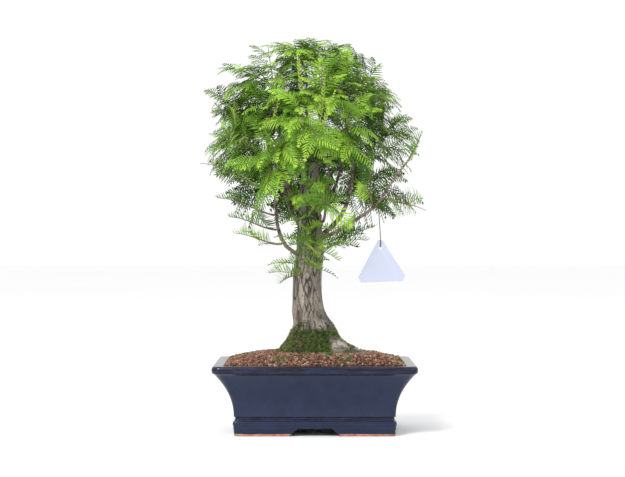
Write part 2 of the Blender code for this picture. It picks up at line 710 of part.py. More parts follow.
def shoot_fits(line, length, name, crown, earlier):
    """Would a spray along the line stay in its space and clear of the sprays before it?"""
    sites, wood = crown
    kind = MASSES[name][5]
    for share in (0.35, 0.55, 0.78, 1.0):
        here, _, normal, side = blade_side(line, share)
        reach = needle_reach(share, length, kind)
        for offset in (-reach, 0.0, reach):
            point = here + side * offset - normal * abs(offset) * TOOTH_FALL
            if not (in_crown(point) and in_own_space(point, name, sites) and is_clear(point, name, wood)):
                return False
            if any((point - other).length < SHOOT_SPACING for other in earlier):
                return False
    return True


def shoot_samples(line, length, kind):
    """Points of a spray that later sprays of the same mass keep clear of."""
    points = []
    for k in range(3, 11):
        here, _, normal, side = blade_side(line, k / 10)
        reach = needle_reach(k / 10, length, kind)
        for share in (-1.0, -0.5, 0.0, 0.5, 1.0):
            points.append(here + side * share * reach - normal * abs(share) * reach * TOOTH_FALL)
    return points


def shoot_lines(here, headings, wanted):
    """Lines to try for one shoot, the longest first: straight out, then bending down."""
    for share in SHOOT_LENGTHS:
        reach = wanted * share
        drop = Vector((0, 0, -SHOOT_DROOP * reach))
        for heading in headings:
            yield reach, (here, here + heading * reach * 0.34, here + heading * reach * 0.70,
                          here + heading * reach + drop)


def grow(name, crown):
    """Side shoots of a mass: pairs along the stem, each shoot as long as its space lets it be."""
    pairs, kind = MASSES[name][4:6]
    length, _, steep, turn = KINDS[kind]
    rng = random.Random(f"{SEED} {name}")
    stem = mass_line(name)
    total = (stem[3] - stem[0]).length
    earlier = shoot_samples(sub_line(stem, STEM_SHARE, 1.0), total * (1 - STEM_SHARE), kind)
    shoots = []
    for pair in range(pairs + 1):
        here, along, normal, side = blade_side(stem, 0.20 + (STEM_SHARE - 0.22) * pair / max(pairs, 1))
        for hand in (-1, 1):
            headings = []
            for _ in range(SHOOT_HEADINGS):
                angle = math.radians(steep + rng.uniform(-SHOOT_WANDER, SHOOT_WANDER))
                roll = math.radians(turn * pair + rng.uniform(-SHOOT_ROLL, SHOOT_ROLL))
                lean = (side * math.cos(roll) + normal * math.sin(roll)) * hand
                headings.append(along * math.cos(angle) + lean * math.sin(angle))
            wanted = length * rng.uniform(0.92, 1.10)
            for reach, line in shoot_lines(here, headings, wanted):
                if shoot_fits(line, reach, name, crown, earlier):
                    shoots.append((line, reach))
                    earlier += shoot_samples(line, reach, kind)
                    break
    return shoots


def sub_line(line, start, end):
    """The stretch of a cubic curve between two shares, as a cubic curve of its own."""
    def slope(t):
        step = 0.001
        before, after = max(t - step, 0.0), min(t + step, 1.0)
        return (bezier(line, after) - bezier(line, before)) * (1.0 / (after - before))

    span = (end - start) / 3
    first, last = bezier(line, start), bezier(line, end)
    return first, first + slope(start) * span, last - slope(end) * span, last


# Foliage: the solids

def blade(name, line, length, kind, finish, stem=0.0):
    """Toothed blade along a line, which starts as a bare stem up to the given share of the line.

    Its core has three sides. Past the stem and a bare foot each stretch has one pointed tooth a side.
    """
    bare = 1 - (1 - stem) * (1 - BLADE_BARE)
    stations = [stem * k / STEM_RINGS for k in range(STEM_RINGS)] if stem else []
    stations += [stem] + [bare + (BLADE_END - bare) * k / BLADE_TEETH for k in range(BLADE_TEETH + 1)]
    first_tooth = len(stations) - BLADE_TEETH - 1
    vertices, faces = [], []
    for k, share in enumerate(stations):
        here, _, normal, side = blade_side(line, share)
        core = BLADE_CORE * (1.15 - 0.5 * share)
        half = BLADE_HALF_THICKNESS
        if share < stem:
            thick, thin = STEM_RADIUS
            core = half = thick + (thin - thick) * share / stem
        under = here - normal * half
        vertices += [here + normal * half, under + side * core, under - side * core]
    for k in range(len(stations) - 1):
        top, right, left = 3 * k, 3 * k + 1, 3 * k + 2
        faces.append((right, left, left + 3, right + 3))
        if k < first_tooth:
            faces += [(top, right, right + 3, top + 3), (left, top, top + 3, left + 3)]
            continue
        middle = (stations[k] + stations[k + 1]) / 2 + 0.07 * (1 - stem)
        share_of_spray = (middle - stem) / (1 - stem)
        here, _, normal, side = blade_side(line, middle)
        reach = needle_reach(share_of_spray, length, kind)
        for hand, corners in ((1, (top, right, right + 3, top + 3)), (-1, (left, top, top + 3, left + 3))):
            tip = len(vertices)
            vertices.append(here + side * hand * reach - normal * reach * TOOTH_FALL)
            faces += [(corners[j], corners[(j + 1) % 4], tip) for j in range(4)]
    tip = len(vertices)
    vertices.append(bezier(line, 1.0))
    last = 3 * (len(stations) - 1)
    faces += [(last + j, last + (j + 1) % 3, tip) for j in range(3)]
    faces.append((0, 1, 2))
    return add_object(name, vertices, faces, finish)


def make_mass(name, crown):
    """One mass of foliage: its stem with the spray at its end, and the side shoots, fused."""
    green = material("needles", (0.115, 0.260, 0.035), 0.60)
    kind = MASSES[name][5]
    line = mass_line(name)
    length = (line[3] - line[0]).length * (1 - STEM_SHARE)
    stem = blade(name, line, length, kind, green, STEM_SHARE)
    fuse(stem, [blade("spray", shoot, reach, kind, green) for shoot, reach in grow(name, crown)])
    return stem


# Hang tag and wire

def tag_limb_share():
    """Share of the far right bough's length at which the wire hangs."""
    shares = [k / 400 for k in range(401)]
    return min(shares, key=lambda share: abs(limb_point("bough_far_right", share).x - TAG_LIMB_X))


def wire_plane():
    """Y of the wire where it hangs down in front of the bough."""
    share = tag_limb_share()
    reach = limb_radius("bough_far_right", share) + WIRE_RADIUS + 2 * GAP
    return limb_point("bough_far_right", share).y - reach


def wire_line():
    """Middle line of the wire: a hook over the bough, straight down, and through the tag's hole."""
    share = tag_limb_share()
    centre = limb_point("bough_far_right", share)
    along = limb_direction("bough_far_right", share)
    reach = centre.y - wire_plane()
    back = Vector((0, 1, 0))
    up = across(along, across(back, Vector((0, 0, 1))))
    points = []
    for k in range(9):
        turn = math.radians(125 - 215 * k / 8)
        points.append(centre + back * reach * math.sin(turn) + up * reach * math.cos(turn))
    hole_x, hole_z = TAG_HOLE
    low = hole_z + TAG_HOLE_RADIUS - WIRE_RADIUS - 1.4 * GAP
    front = points[-1].y
    bend = (TAG_THICKNESS + 2 * WIRE_RADIUS + 2.8 * GAP) / 2
    points.append(Vector((hole_x, front, low + bend + 0.012)))
    for k in range(7):
        turn = math.radians(180 * k / 6)
        points.append(Vector((hole_x, front + bend - bend * math.cos(turn), low + bend - bend * math.sin(turn))))
    points.append(points[-1] + Vector((0, 0, WIRE_TAIL)))
    return points


def make_wire():
    """Dark wire that the tag hangs on."""
    dark = material("wire", (0.020, 0.018, 0.016), 0.45, 0.6)
    points = wire_line()
    return add_object("tag_wire", *tube(points, [WIRE_RADIUS] * len(points), 6), dark, smooth=True)


def make_tag():
    """Blank three-cornered hang tag with cut corners and a hole near its top."""
    pale = material("tag", (0.700, 0.720, 0.860), 0.35)
    half = TAG_HALF_WIDTH
    low = -TAG_BELOW_HOLE
    corner_x = half - TAG_CORNER_RUN
    outline = [(-corner_x, low), (corner_x, low), (half, low + TAG_CORNER_RISE),
               (TAG_APEX_HALF, TAG_ABOVE_HOLE), (-TAG_APEX_HALF, TAG_ABOVE_HOLE),
               (-half, low + TAG_CORNER_RISE)]
    tag = prism("tag", outline, TAG_THICKNESS / 2, pale)
    ends = [Vector((0, y, 0)) for y in (-0.01, 0.01)]
    cut(tag, [add_object("hole", *tube(ends, [TAG_HOLE_RADIUS] * 2, 20), pale)])
    hole_x, hole_z = TAG_HOLE
    middle_y = wire_plane() + WIRE_RADIUS + 1.4 * GAP + TAG_THICKNESS / 2
    tilt = math.radians(TAG_TILT)
    for vertex in tag.data.vertices:
        x, y, z = vertex.co
        vertex.co = (hole_x + x * math.cos(tilt) - z * math.sin(tilt), middle_y + y,
                     hole_z + x * math.sin(tilt) + z * math.cos(tilt))
    return tag


KNOTS = {name: limb_knots(name) for name in LIMBS}


def main():
    for thing in list(bpy.data.objects):
        bpy.data.objects.remove(thing)
    make_pot()
    make_soil()
    make_trunk()
    make_moss()
    for name in LIMBS:
        make_limb(name)
    crown = crown_map()
    for name in MASSES:
        make_mass(name, crown)
    make_wire()
    make_tag()


main()
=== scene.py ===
# %% [markdown]
# # A dawn redwood bonsai in its navy pot
#
# This lesson dresses the plain CAD model of a potted dawn redwood, so that it looks like a real one.
# The CAD model gives every size and place. Here the pot gets its glaze, the trunk its bark, the soil
# its grains and the moss its tufts, and each coarse blade of foliage becomes sprays of single needles.

# %% Setup: load the CAD model as a fixed frame
import math
import random

import bmesh
import bpy
import numpy as np
from mathutils import Matrix, Vector, kdtree, noise


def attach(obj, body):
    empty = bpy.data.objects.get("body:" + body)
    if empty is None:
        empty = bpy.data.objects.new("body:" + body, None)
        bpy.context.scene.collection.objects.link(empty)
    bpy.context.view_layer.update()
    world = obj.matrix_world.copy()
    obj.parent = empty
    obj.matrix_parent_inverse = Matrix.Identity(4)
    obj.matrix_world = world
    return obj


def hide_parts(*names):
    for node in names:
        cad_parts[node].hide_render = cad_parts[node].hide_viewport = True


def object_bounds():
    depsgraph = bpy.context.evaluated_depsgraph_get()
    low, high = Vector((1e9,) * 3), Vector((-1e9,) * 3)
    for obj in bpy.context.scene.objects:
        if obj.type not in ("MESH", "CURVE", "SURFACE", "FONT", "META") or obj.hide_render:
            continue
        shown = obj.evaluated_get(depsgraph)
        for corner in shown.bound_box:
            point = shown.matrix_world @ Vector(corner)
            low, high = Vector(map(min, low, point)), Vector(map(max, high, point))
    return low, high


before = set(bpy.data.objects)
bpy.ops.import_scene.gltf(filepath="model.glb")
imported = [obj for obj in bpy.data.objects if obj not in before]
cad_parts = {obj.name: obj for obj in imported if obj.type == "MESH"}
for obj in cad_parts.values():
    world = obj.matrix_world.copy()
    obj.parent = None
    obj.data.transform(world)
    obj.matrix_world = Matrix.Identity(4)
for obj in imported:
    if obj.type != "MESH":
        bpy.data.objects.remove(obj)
cad_low, cad_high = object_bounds()
bpy.context.scene.view_settings.view_transform = "Standard"

# %% [markdown]
# ## Sizes
#
# All sizes are in metres. They are the sizes of the CAD model, written again here. They could be
# measured on the CAD meshes, but the needles have to grow by the same rule from the same limbs, and
# for that the rule needs the same numbers.

# %% Sizes of the pot
# Clearance between pieces that touch on the real plant
GAP = 0.0003

# Pot, outside: half sizes at the rim, heights from the feet up
RIM_HALF_X = 0.1555
RIM_HALF_Y = 0.1125
POT_TOP = 0.1079
LIP_BOTTOM = 0.0960
WAIST_HALF_X = 0.1233
GROOVE_TOP = 0.0296
GROOVE_BOTTOM = 0.0235
GROOVE_DEPTH = 0.0020
FLARE = 0.0290
FLARE_POWER = 2.1
BODY_CORNER = 0.006
RIM_CORNER = 0.013
# Pot, inside
FLOOR_TOP = 0.016
INNER_WALL = ((FLOOR_TOP, 0.1125), (0.042, 0.1168), (0.076, 0.1256), (POT_TOP, 0.1375))
INNER_CORNER = 0.006
FLOOR_UNDERSIDE = 0.010
# Pot, feet: an arch in each side leaves one foot at each corner
ARCH_HEIGHT = 0.012
ARCH_HALF_TOP = 0.025
ARCH_HALF_FOOT = 0.040
SIDE_ARCH_SHARE = 0.62
FOOT_WIDTH = 0.016
DRAIN_RADIUS = 0.009
DRAIN_X = 0.062

# %% Sizes of the soil, the moss and the trunk
# Heights of the soil at the pot's wall and under the trunk, and of the moss mound's top
SOIL_EDGE = 0.1065
SOIL_TOP = 0.1215
GROUND = SOIL_TOP + GAP
MOSS_TOP = 0.1575

# Trunk: middle line, radius, and root flare (direction in degrees, reach, half width in degrees)
TRUNK_TOP = 0.4185
TRUNK_LINE = (
    (GROUND, (0.0000, 0.000)), (0.160, (-0.0003, 0.000)), (0.191, (-0.0092, 0.001)),
    (0.249, (-0.0100, 0.002)), (0.277, (-0.0062, 0.002)), (0.345, (-0.0086, 0.003)),
    (0.380, (-0.0080, 0.004)), (TRUNK_TOP, (-0.0047, 0.004)),
)
TRUNK_RADIUS = (
    (GROUND, 0.0420), (0.130, 0.0385), (0.1443, 0.0350), (0.160, 0.0322), (0.179, 0.0272),
    (0.204, 0.0233), (0.249, 0.0224), (0.277, 0.0217), (0.318, 0.0192), (0.365, 0.0170),
    (0.395, 0.0145), (TRUNK_TOP, 0.0095),
)
ROOT_TOP = 0.157
ROOT_FALL = 1.5
ROOTS = ((-30, 0.056, 15), (65, 0.010, 26), (150, 0.008, 24), (215, 0.010, 22), (272, 0.006, 20))
FLUTES = ((3, 0.030, 1.0, 9.0), (5, 0.020, 0.2, -14.0))

# %% Sizes of the limbs
# Control points from inside what carries each limb to its tip, and its radius at both ends
LIMBS = {
    "leader_left": (((-0.0092, 0.0040, 0.4190), (-0.0078, 0.004, 0.452), (-0.0110, 0.003, 0.485),
                     (-0.0137, 0.002, 0.517), (-0.0120, 0.001, 0.548)), 0.0040, 0.0016),
    "leader_right": (((0.0000, 0.0045, 0.4194), (0.0035, 0.006, 0.452), (0.0115, 0.009, 0.487),
                      (0.0180, 0.012, 0.525)), 0.0040, 0.0017),
    "bough_left": (((-0.0120, -0.004, 0.268), (-0.0360, -0.008, 0.281), (-0.0490, -0.013, 0.294),
                    (-0.0575, -0.016, 0.318), (-0.0600, -0.018, 0.3446), (-0.0638, -0.020, 0.3884),
                    (-0.0685, -0.022, 0.4228), (-0.0739, -0.022, 0.4635)), 0.0034, 0.0018),
    "bough_upper_left": (((-0.0100, 0.002, 0.335), (-0.0285, 0.004, 0.354), (-0.0403, 0.006, 0.3775),
                          (-0.0490, 0.010, 0.4072), (-0.0530, 0.014, 0.4385),
                          (-0.0560, 0.018, 0.4700)), 0.0048, 0.0021),
    "bough_inner_right": (((-0.0020, -0.006, 0.318), (0.0125, -0.0135, 0.326),
                           (0.0163, -0.0155, 0.340), (0.0181, -0.0160, 0.3571),
                           (0.0203, -0.0140, 0.3916), (0.0240, -0.0100, 0.4385)), 0.0027, 0.0015),
    "bough_right": (((-0.0020, 0.004, 0.298), (0.0200, 0.010, 0.312), (0.0375, 0.014, 0.3297),
                     (0.0500, 0.016, 0.3520), (0.0585, 0.018, 0.3884), (0.0598, 0.020, 0.4150),
                     (0.0570, 0.022, 0.4400), (0.0489, 0.024, 0.4807)), 0.0044, 0.0020),
    "bough_far_right": (((-0.0040, -0.004, 0.296), (0.0180, -0.010, 0.303), (0.0450, -0.015, 0.3170),
                         (0.0739, -0.018, 0.3357), (0.0965, -0.020, 0.3524),
                         (0.1131, -0.020, 0.3775), (0.1245, -0.019, 0.3947),
                         (0.1441, -0.018, 0.4197)), 0.0034, 0.0015),
    "bough_back_left": (((-0.0080, 0.004, 0.300), (-0.0220, 0.030, 0.318), (-0.0400, 0.055, 0.350),
                         (-0.0520, 0.068, 0.392), (-0.0580, 0.074, 0.435)), 0.0040, 0.0019),
    "bough_back_right": (((-0.0060, 0.004, 0.330), (0.0100, 0.026, 0.346), (0.0300, 0.048, 0.375),
                          (0.0420, 0.058, 0.415), (0.0460, 0.062, 0.455)), 0.0038, 0.0018),
    "bough_back_low": (((-0.0080, 0.004, 0.262), (-0.0060, 0.034, 0.276), (0.0040, 0.062, 0.302),
                        (0.0100, 0.078, 0.335)), 0.0032, 0.0017),
}
LIMB_RINGS = 10

# %% Masses of foliage
# Where each stem starts, where its furthest needle ends, how far the stem lifts before it gets
# there, pairs of side shoots, and its kind. A stem starts at a share of its limb's length, or at a
# height and a compass direction (degrees from +X) on the trunk.
MASSES = {
    "foliage_top_left": ("bough_upper_left", 1.0, (-0.074, 0.000, 0.605), 0.10, 3, "full"),
    "foliage_top_middle": ("leader_left", 1.0, (-0.034, -0.014, 0.609), 0.00, 3, "full"),
    "foliage_top_right": ("leader_right", 1.0, (0.016, 0.016, 0.606), 0.05, 3, "full"),
    "foliage_crest_left": ("leader_left", 0.74, (-0.148, -0.012, 0.566), 0.45, 3, "full"),
    "foliage_crest_right": ("bough_right", 1.0, (0.101, 0.010, 0.572), 0.25, 3, "full"),
    "foliage_upper_left": ("bough_upper_left", 0.86, (-0.170, 0.024, 0.535), 0.30, 3, "full"),
    "foliage_shoot_left": ("bough_left", 1.0, (-0.046, -0.060, 0.548), 0.20, 3, "full"),
    "foliage_shoulder_left": ("bough_left", 0.88, (-0.159, -0.040, 0.462), 0.30, 3, "full"),
    "foliage_left_long": ("bough_left", 0.66, (-0.181, -0.030, 0.416), 0.42, 1, "open"),
    "foliage_left_middle": ("bough_left", 0.53, (-0.151, -0.006, 0.363), 0.30, 1, "open"),
    "foliage_left_lower": ("bough_left", 0.41, (-0.131, -0.045, 0.333), 0.25, 1, "open"),
    "foliage_left_lowest": ("bough_left", 0.27, (-0.125, -0.008, 0.308), 0.22, 1, "open"),
    "foliage_front_low": ("trunk", (0.243, -112), (-0.052, -0.072, 0.232), 0.40, 1, "open"),
    "foliage_front_middle": ("trunk", (0.284, -84), (0.006, -0.098, 0.272), 0.40, 1, "open"),
    "foliage_front_upper": ("trunk", (0.352, -70), (0.034, -0.104, 0.340), 0.40, 1, "open"),
    "foliage_right_low": ("trunk", (0.284, -24), (0.092, -0.046, 0.318), 0.20, 1, "open"),
    "foliage_right_lower": ("bough_far_right", 0.64, (0.1745, -0.030, 0.342), 0.25, 1, "open"),
    "foliage_right_tip": ("bough_far_right", 1.0, (0.166, -0.030, 0.462), 0.05, 1, "open"),
    "foliage_right_inner": ("bough_far_right", 0.54, (0.092, -0.046, 0.432), 0.10, 1, "open"),
    "foliage_right_outer": ("bough_right", 0.74, (0.143, 0.022, 0.496), 0.30, 2, "full"),
    "foliage_right_front": ("bough_inner_right", 1.0, (0.072, -0.098, 0.474), 0.35, 3, "full"),
    "foliage_dome_front": ("leader_left", 0.40, (-0.020, -0.142, 0.470), 0.55, 3, "full"),
    "foliage_dome_middle": ("leader_right", 0.34, (0.020, -0.112, 0.545), 0.50, 3, "full"),
    "foliage_dome_right": ("leader_right", 0.66, (0.088, -0.070, 0.545), 0.40, 3, "full"),
    "foliage_dome_left": ("bough_upper_left", 0.60, (-0.074, -0.112, 0.440), 0.40, 3, "full"),
    "foliage_back_top": ("leader_right", 0.84, (-0.010, 0.092, 0.588), 0.35, 3, "full"),
    "foliage_back_left": ("bough_back_left", 1.0, (-0.104, 0.112, 0.520), 0.20, 2, "full"),
    "foliage_back_right": ("bough_back_right", 1.0, (0.078, 0.116, 0.530), 0.20, 2, "full"),
    "foliage_back_middle": ("bough_back_right", 0.60, (0.012, 0.142, 0.452), 0.35, 2, "full"),
    "foliage_back_side": ("bough_back_right", 0.44, (0.126, 0.084, 0.414), 0.30, 2, "full"),
    "foliage_back_wide": ("bough_back_left", 0.60, (-0.132, 0.090, 0.420), 0.30, 2, "full"),
    "foliage_back_low": ("bough_back_low", 1.0, (-0.030, 0.130, 0.372), 0.15, 2, "full"),
    "foliage_back_lowest": ("bough_back_low", 0.52, (0.066, 0.092, 0.312), 0.25, 1, "open"),
}

# %% Kinds of shoot, the crown's outline and the numbers of the rule
# A kind's length of shoot, how far needles stand out from a shoot's middle, the angle at which
# shoots leave the stem and the turn around the stem from one pair to the next, in degrees
KINDS = {"open": (0.062, 0.018, 54, 34), "full": (0.068, 0.022, 52, 78)}
# Outline of the crown: height, reach to the left and to the right
CROWN_OUTLINE = (
    (0.225, 0.075, 0.050), (0.310, 0.128, 0.100), (0.345, 0.140, 0.174), (0.418, 0.181, 0.172),
    (0.460, 0.162, 0.166), (0.500, 0.165, 0.146), (0.537, 0.171, 0.122), (0.567, 0.150, 0.108),
    (0.590, 0.120, 0.085), (0.609, 0.090, 0.045),
)
CROWN_DEPTH = 0.142
CROWN_MIDDLE = (-0.010, 0.0, 0.450)
# A stem's radius at its root, the share of it that carries shoots, and the shares of its line that
# mark out the mass's own space
STEM_RADIUS = 0.0017
STEM_SHARE = 0.58
SITE_SHARES = (0.40, 0.70, 1.0)
# Clearances to other masses' space and to wood
CELL_MARGIN = 0.0012
LIMB_MARGIN = 0.0013
# Side shoots: spread of their angle and roll in degrees, headings that are tried, fall of the tip,
# shares of the wanted length that are tried, room between shoots, and fall of the needles
SHOOT_WANDER = 12
SHOOT_ROLL = 24
SHOOT_HEADINGS = 5
SHOOT_DROOP = 0.16
SHOOT_LENGTHS = (1.0, 0.86, 0.72, 0.60)
SHOOT_SPACING = 0.0045
TOOTH_FALL = 0.22
SEED = 7

# %% Sizes of the hang tag and its wire
TAG_HOLE = (0.1021, 0.2849)
TAG_HALF_WIDTH = 0.0363
TAG_ABOVE_HOLE = 0.0125
TAG_BELOW_HOLE = 0.0520
TAG_APEX_HALF = 0.0035
TAG_CORNER_RISE = 0.0085
TAG_CORNER_RUN = 0.0035
TAG_THICKNESS = 0.0009
TAG_HOLE_RADIUS = 0.0025
TAG_TILT = 2.3
TAG_LIMB_X = 0.0986
WIRE_RADIUS = 0.0006
WIRE_TAIL = 0.006

# %% [markdown]
# ## Small tools
#
# Trunk, boughs and shoots are all swept forms: a curve, and a radius along it. Blender's own curve
# objects could carry them. Here the curves are short functions instead, because the same ones also
# say where a needle may grow and how deep a crack lies.

# %% Curves and directions
def smooth_value(rows, at):
    """Smooth value of a table of (place, value) rows, where a value is a number or a Vector."""
    last = len(rows) - 1
    at = min(max(at, rows[0][0]), rows[last][0])
    low = max(k for k in range(last) if rows[k][0] <= at)

    def slope(k):
        before, after = max(k - 1, 0), min(k + 1, last)
        return (rows[after][1] - rows[before][1]) * (1.0 / (rows[after][0] - rows[before][0]))

    span = rows[low + 1][0] - rows[low][0]
    u = (at - rows[low][0]) / span
    start, end = rows[low][1], rows[low + 1][1]
    swing = u * u * (3 - 2 * u)
    leave = u * (1 - u) * (1 - u) * span
    arrive = -u * u * (1 - u) * span
    return start + (end - start) * swing + slope(low) * leave + slope(low + 1) * arrive


def bezier(ends, t):
    """Point at t of the cubic curve with the four given points."""
    a, b, c, d = ends
    u = 1.0 - t
    return a * (u ** 3) + b * (3 * u * u * t) + c * (3 * u * t * t) + d * (t ** 3)


def across(direction, guide):
    """The part of the guide that is square to the direction, one long."""
    square = guide - direction * guide.dot(direction)
    return square.normalized()


# %% The trunk and the limbs as curves
def trunk_middle(z):
    """Middle of the trunk at a height."""
    rows = [(height, Vector((x, y, 0))) for height, (x, y) in TRUNK_LINE]
    place = smooth_value(rows, z)
    return Vector((place.x, place.y, z))


def trunk_radius(angle, z):
    """Radius of the trunk at a height in a direction: taper, shallow flutes and root flare."""
    flute = 1.0
    for count, depth, start, twist in FLUTES:
        flute += depth * math.cos(count * angle + start + twist * z)
    radius = smooth_value(TRUNK_RADIUS, z) * flute
    if z < ROOT_TOP:
        height = (1 - (z - GROUND) / (ROOT_TOP - GROUND)) ** ROOT_FALL
        for direction, reach, width in ROOTS:
            turn = (math.degrees(angle) - direction + 180) % 360 - 180
            radius += reach * height * math.exp(-(turn / width) ** 2)
    return radius


def trunk_point(angle, z, extra=0.0):
    """Point on the trunk, or just outside it."""
    reach = trunk_radius(angle, z) + extra
    return trunk_middle(z) + Vector((math.cos(angle), math.sin(angle), 0)) * reach


def limb_knots(name):
    """Middles of a limb's rings, evenly dealt along a smooth curve through its control points."""
    points = LIMBS[name][0]
    last = len(points) - 1
    rows = [(k / last, Vector(point)) for k, point in enumerate(points)]
    return [smooth_value(rows, k / (LIMB_RINGS - 1)) for k in range(LIMB_RINGS)]


def limb_point(name, share):
    """Middle of a limb at a share of its length, straight between its rings."""
    knots = KNOTS[name]
    place = share * (LIMB_RINGS - 1)
    low = min(int(place), LIMB_RINGS - 2)
    return knots[low].lerp(knots[low + 1], place - low)


def limb_radius(name, share):
    """Radius of a limb at a share of its length."""
    start, end = LIMBS[name][1:]
    return end + (start - end) * (1 - share) ** 1.15


def limb_direction(name, share):
    """Direction in which a limb grows at a share of its length."""
    step = 0.02
    ahead = limb_point(name, min(share + step, 1.0))
    return (ahead - limb_point(name, max(share - step, 0.0))).normalized()


KNOTS = {name: limb_knots(name) for name in LIMBS}

# %% [markdown]
# ## Making pieces
#
# A piece is made in one of two ways. What has one clear form starts as one of Blender's primitives,
# is cut in edit mode, drawn out to its form, and carved with Boolean modifiers. What comes by the
# thousand, such as grains, leaves and needles, is worked out as arrays of points and put into one
# mesh, since thousands of separate objects would be slow and heavy.

# %% Making pieces
def dress(piece, slot_name, *nodes):
    """A finished piece rides on the one body and may stand for CAD nodes, which are hidden; slot_name is
    not used.
    """
    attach(piece, "root")
    if nodes:
        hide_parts(*nodes)
    print(piece.name, "has", len(piece.data.polygons), "faces")


def refinish(piece, finish):
    """Give a piece one finish, in place of any that it has."""
    piece.data.materials.clear()
    piece.data.materials.append(finish)


def primitive(add, **settings):
    """A new piece from one of Blender's primitives."""
    bpy.ops.object.select_all(action="DESELECT")
    add(**settings)
    return bpy.context.object


def joined(name, vertices, faces, finish, smooth=False):
    """One mesh piece from arrays of points and of faces."""
    mesh = bpy.data.meshes.new(name)
    mesh.from_pydata(np.asarray(vertices).tolist(), [], faces)
    mesh.materials.append(finish)
    if smooth:
        mesh.shade_smooth()
    mesh.update()
    piece = bpy.data.objects.new(name, mesh)
    bpy.context.scene.collection.objects.link(piece)
    return piece


def swept_cylinder(name, sides, rings, place, finish, sharp=40):
    """A cylinder primitive, cut into rings in edit mode and drawn out: place(ring, side) is a point."""
    piece = primitive(bpy.ops.mesh.primitive_cylinder_add, vertices=sides, radius=1, depth=1,
                      end_fill_type="NGON")
    piece.name = piece.data.name = name
    bpy.ops.object.mode_set(mode="EDIT")
    bpy.ops.mesh.select_mode(type="EDGE")
    # Two rounds of few cuts are far quicker than one round of hundreds
    stretches = rings - 1
    coarse = next(k for k in range(int(math.sqrt(stretches)), 0, -1) if stretches % k == 0)
    for share in (coarse, stretches // coarse):
        bpy.ops.mesh.select_all(action="DESELECT")
        shape = bmesh.from_edit_mesh(piece.data)
        for edge in shape.edges:
            edge.select_set(abs(edge.verts[0].co.z - edge.verts[1].co.z) > 1e-6)
        bmesh.update_edit_mesh(piece.data)
        if share > 1:
            bpy.ops.mesh.subdivide(number_cuts=share - 1)
    bpy.ops.object.mode_set(mode="OBJECT")
    for vertex in piece.data.vertices:
        x, y, z = vertex.co
        side = round(math.atan2(y, x) / (2 * math.pi) * sides) % sides
        vertex.co = place(round((z + 0.5) * stretches), side)
    refinish(piece, finish)
    shade(piece, sharp)
    return piece


def shade(piece, sharp=40):
    """Smooth shading with sharp edges past an angle in degrees, and normals that point out."""
    bpy.ops.object.select_all(action="DESELECT")
    bpy.context.view_layer.objects.active = piece
    piece.select_set(True)
    bpy.ops.object.mode_set(mode="EDIT")
    bpy.ops.mesh.select_all(action="SELECT")
    bpy.ops.mesh.normals_make_consistent(inside=False)
    bpy.ops.object.mode_set(mode="OBJECT")
    bpy.ops.object.shade_smooth_by_angle(angle=math.radians(sharp))


def carve(piece, cutters):
    """Take the cutters away from a piece with Boolean modifiers, applied one by one."""
    bpy.context.view_layer.objects.active = piece
    for cutter in cutters:
        step = piece.modifiers.new("carve", "BOOLEAN")
        step.operation = "DIFFERENCE"
        step.solver = "EXACT"
        step.object = cutter
        bpy.ops.object.select_all(action="DESELECT")
        piece.select_set(True)
        bpy.context.view_layer.objects.active = piece
        bpy.ops.object.modifier_apply(modifier=step.name)
        bpy.data.objects.remove(cutter)


# A direction along which no limb grows, from which a tube's first side is worked out
ANY_SIDE = Vector((0.31, -0.87, 0.13))


def ribbon_tube(points, radii, sides):
    """Arrays of vertices and faces of an open tube along the points."""
    points = [Vector(point) for point in points]
    vertices, faces = [], []
    count = len(points)
    side = ANY_SIDE
    for k, point in enumerate(points):
        along = (points[min(k + 1, count - 1)] - points[max(k - 1, 0)]).normalized()
        side = across(along, side)
        other = along.cross(side)
        for j in range(sides):
            turn = 2 * math.pi * j / sides
            vertices.append(point + (side * math.cos(turn) + other * math.sin(turn)) * radii[k])
    for k in range(count - 1):
        for j in range(sides):
            a, b = k * sides + j, k * sides + (j + 1) % sides
            faces.append((a, b, b + sides, a + sides))
    return vertices, faces


class Heap:
    """Many small things on their way into one joined mesh."""

    def __init__(self):
        self.vertices, self.faces, self.count = [], [], 0

    def add(self, vertices, faces):
        """Put one more small thing on the heap."""
        self.vertices.append(np.asarray(vertices, dtype=float).reshape(-1, 3))
        self.faces += [tuple(corner + self.count for corner in face) for face in faces]
        self.count += len(self.vertices[-1])

    def piece(self, name, finish, smooth=False):
        """The heap as one mesh piece."""
        return joined(name, np.concatenate(self.vertices), self.faces, finish, smooth)


# %% [markdown]
# ## Shared effects
#
# Real surfaces are never one flat colour. Photographs could be laid over them, but noise that is worked
# out in space needs no unwrapping, and one effect serves many finishes. Three small node groups are
# used again and again: mottling mixes two colours in soft clouds, grit gives a fine uneven surface,
# and dust settles on what faces up. Each one has named sockets and gives out a colour, a mask or a
# normal, never a whole shader.

# %% Helpers for node trees
def new_group(name, inputs, outputs):
    """An empty node group with named sockets; returns the tree with its input and output nodes."""
    tree = bpy.data.node_groups.new(name, "ShaderNodeTree")
    for socket, kind, value in inputs:
        made = tree.interface.new_socket(socket, in_out="INPUT", socket_type="NodeSocket" + kind)
        if value is not None:
            made.default_value = value
    for socket, kind in outputs:
        tree.interface.new_socket(socket, in_out="OUTPUT", socket_type="NodeSocket" + kind)
    return tree, tree.nodes.new("NodeGroupInput"), tree.nodes.new("NodeGroupOutput")


def node(tree, kind, numbered=(), **settings):
    """A node with its settings and its sockets' values, which (number, value) pairs may give too."""
    made = tree.nodes.new("ShaderNode" + kind)
    for name, value in settings.items():
        if hasattr(made, name):
            setattr(made, name, value)
        else:
            made.inputs[name.replace("_", " ")].default_value = value
    for number, value in numbered:
        made.inputs[number].default_value = value
    return made


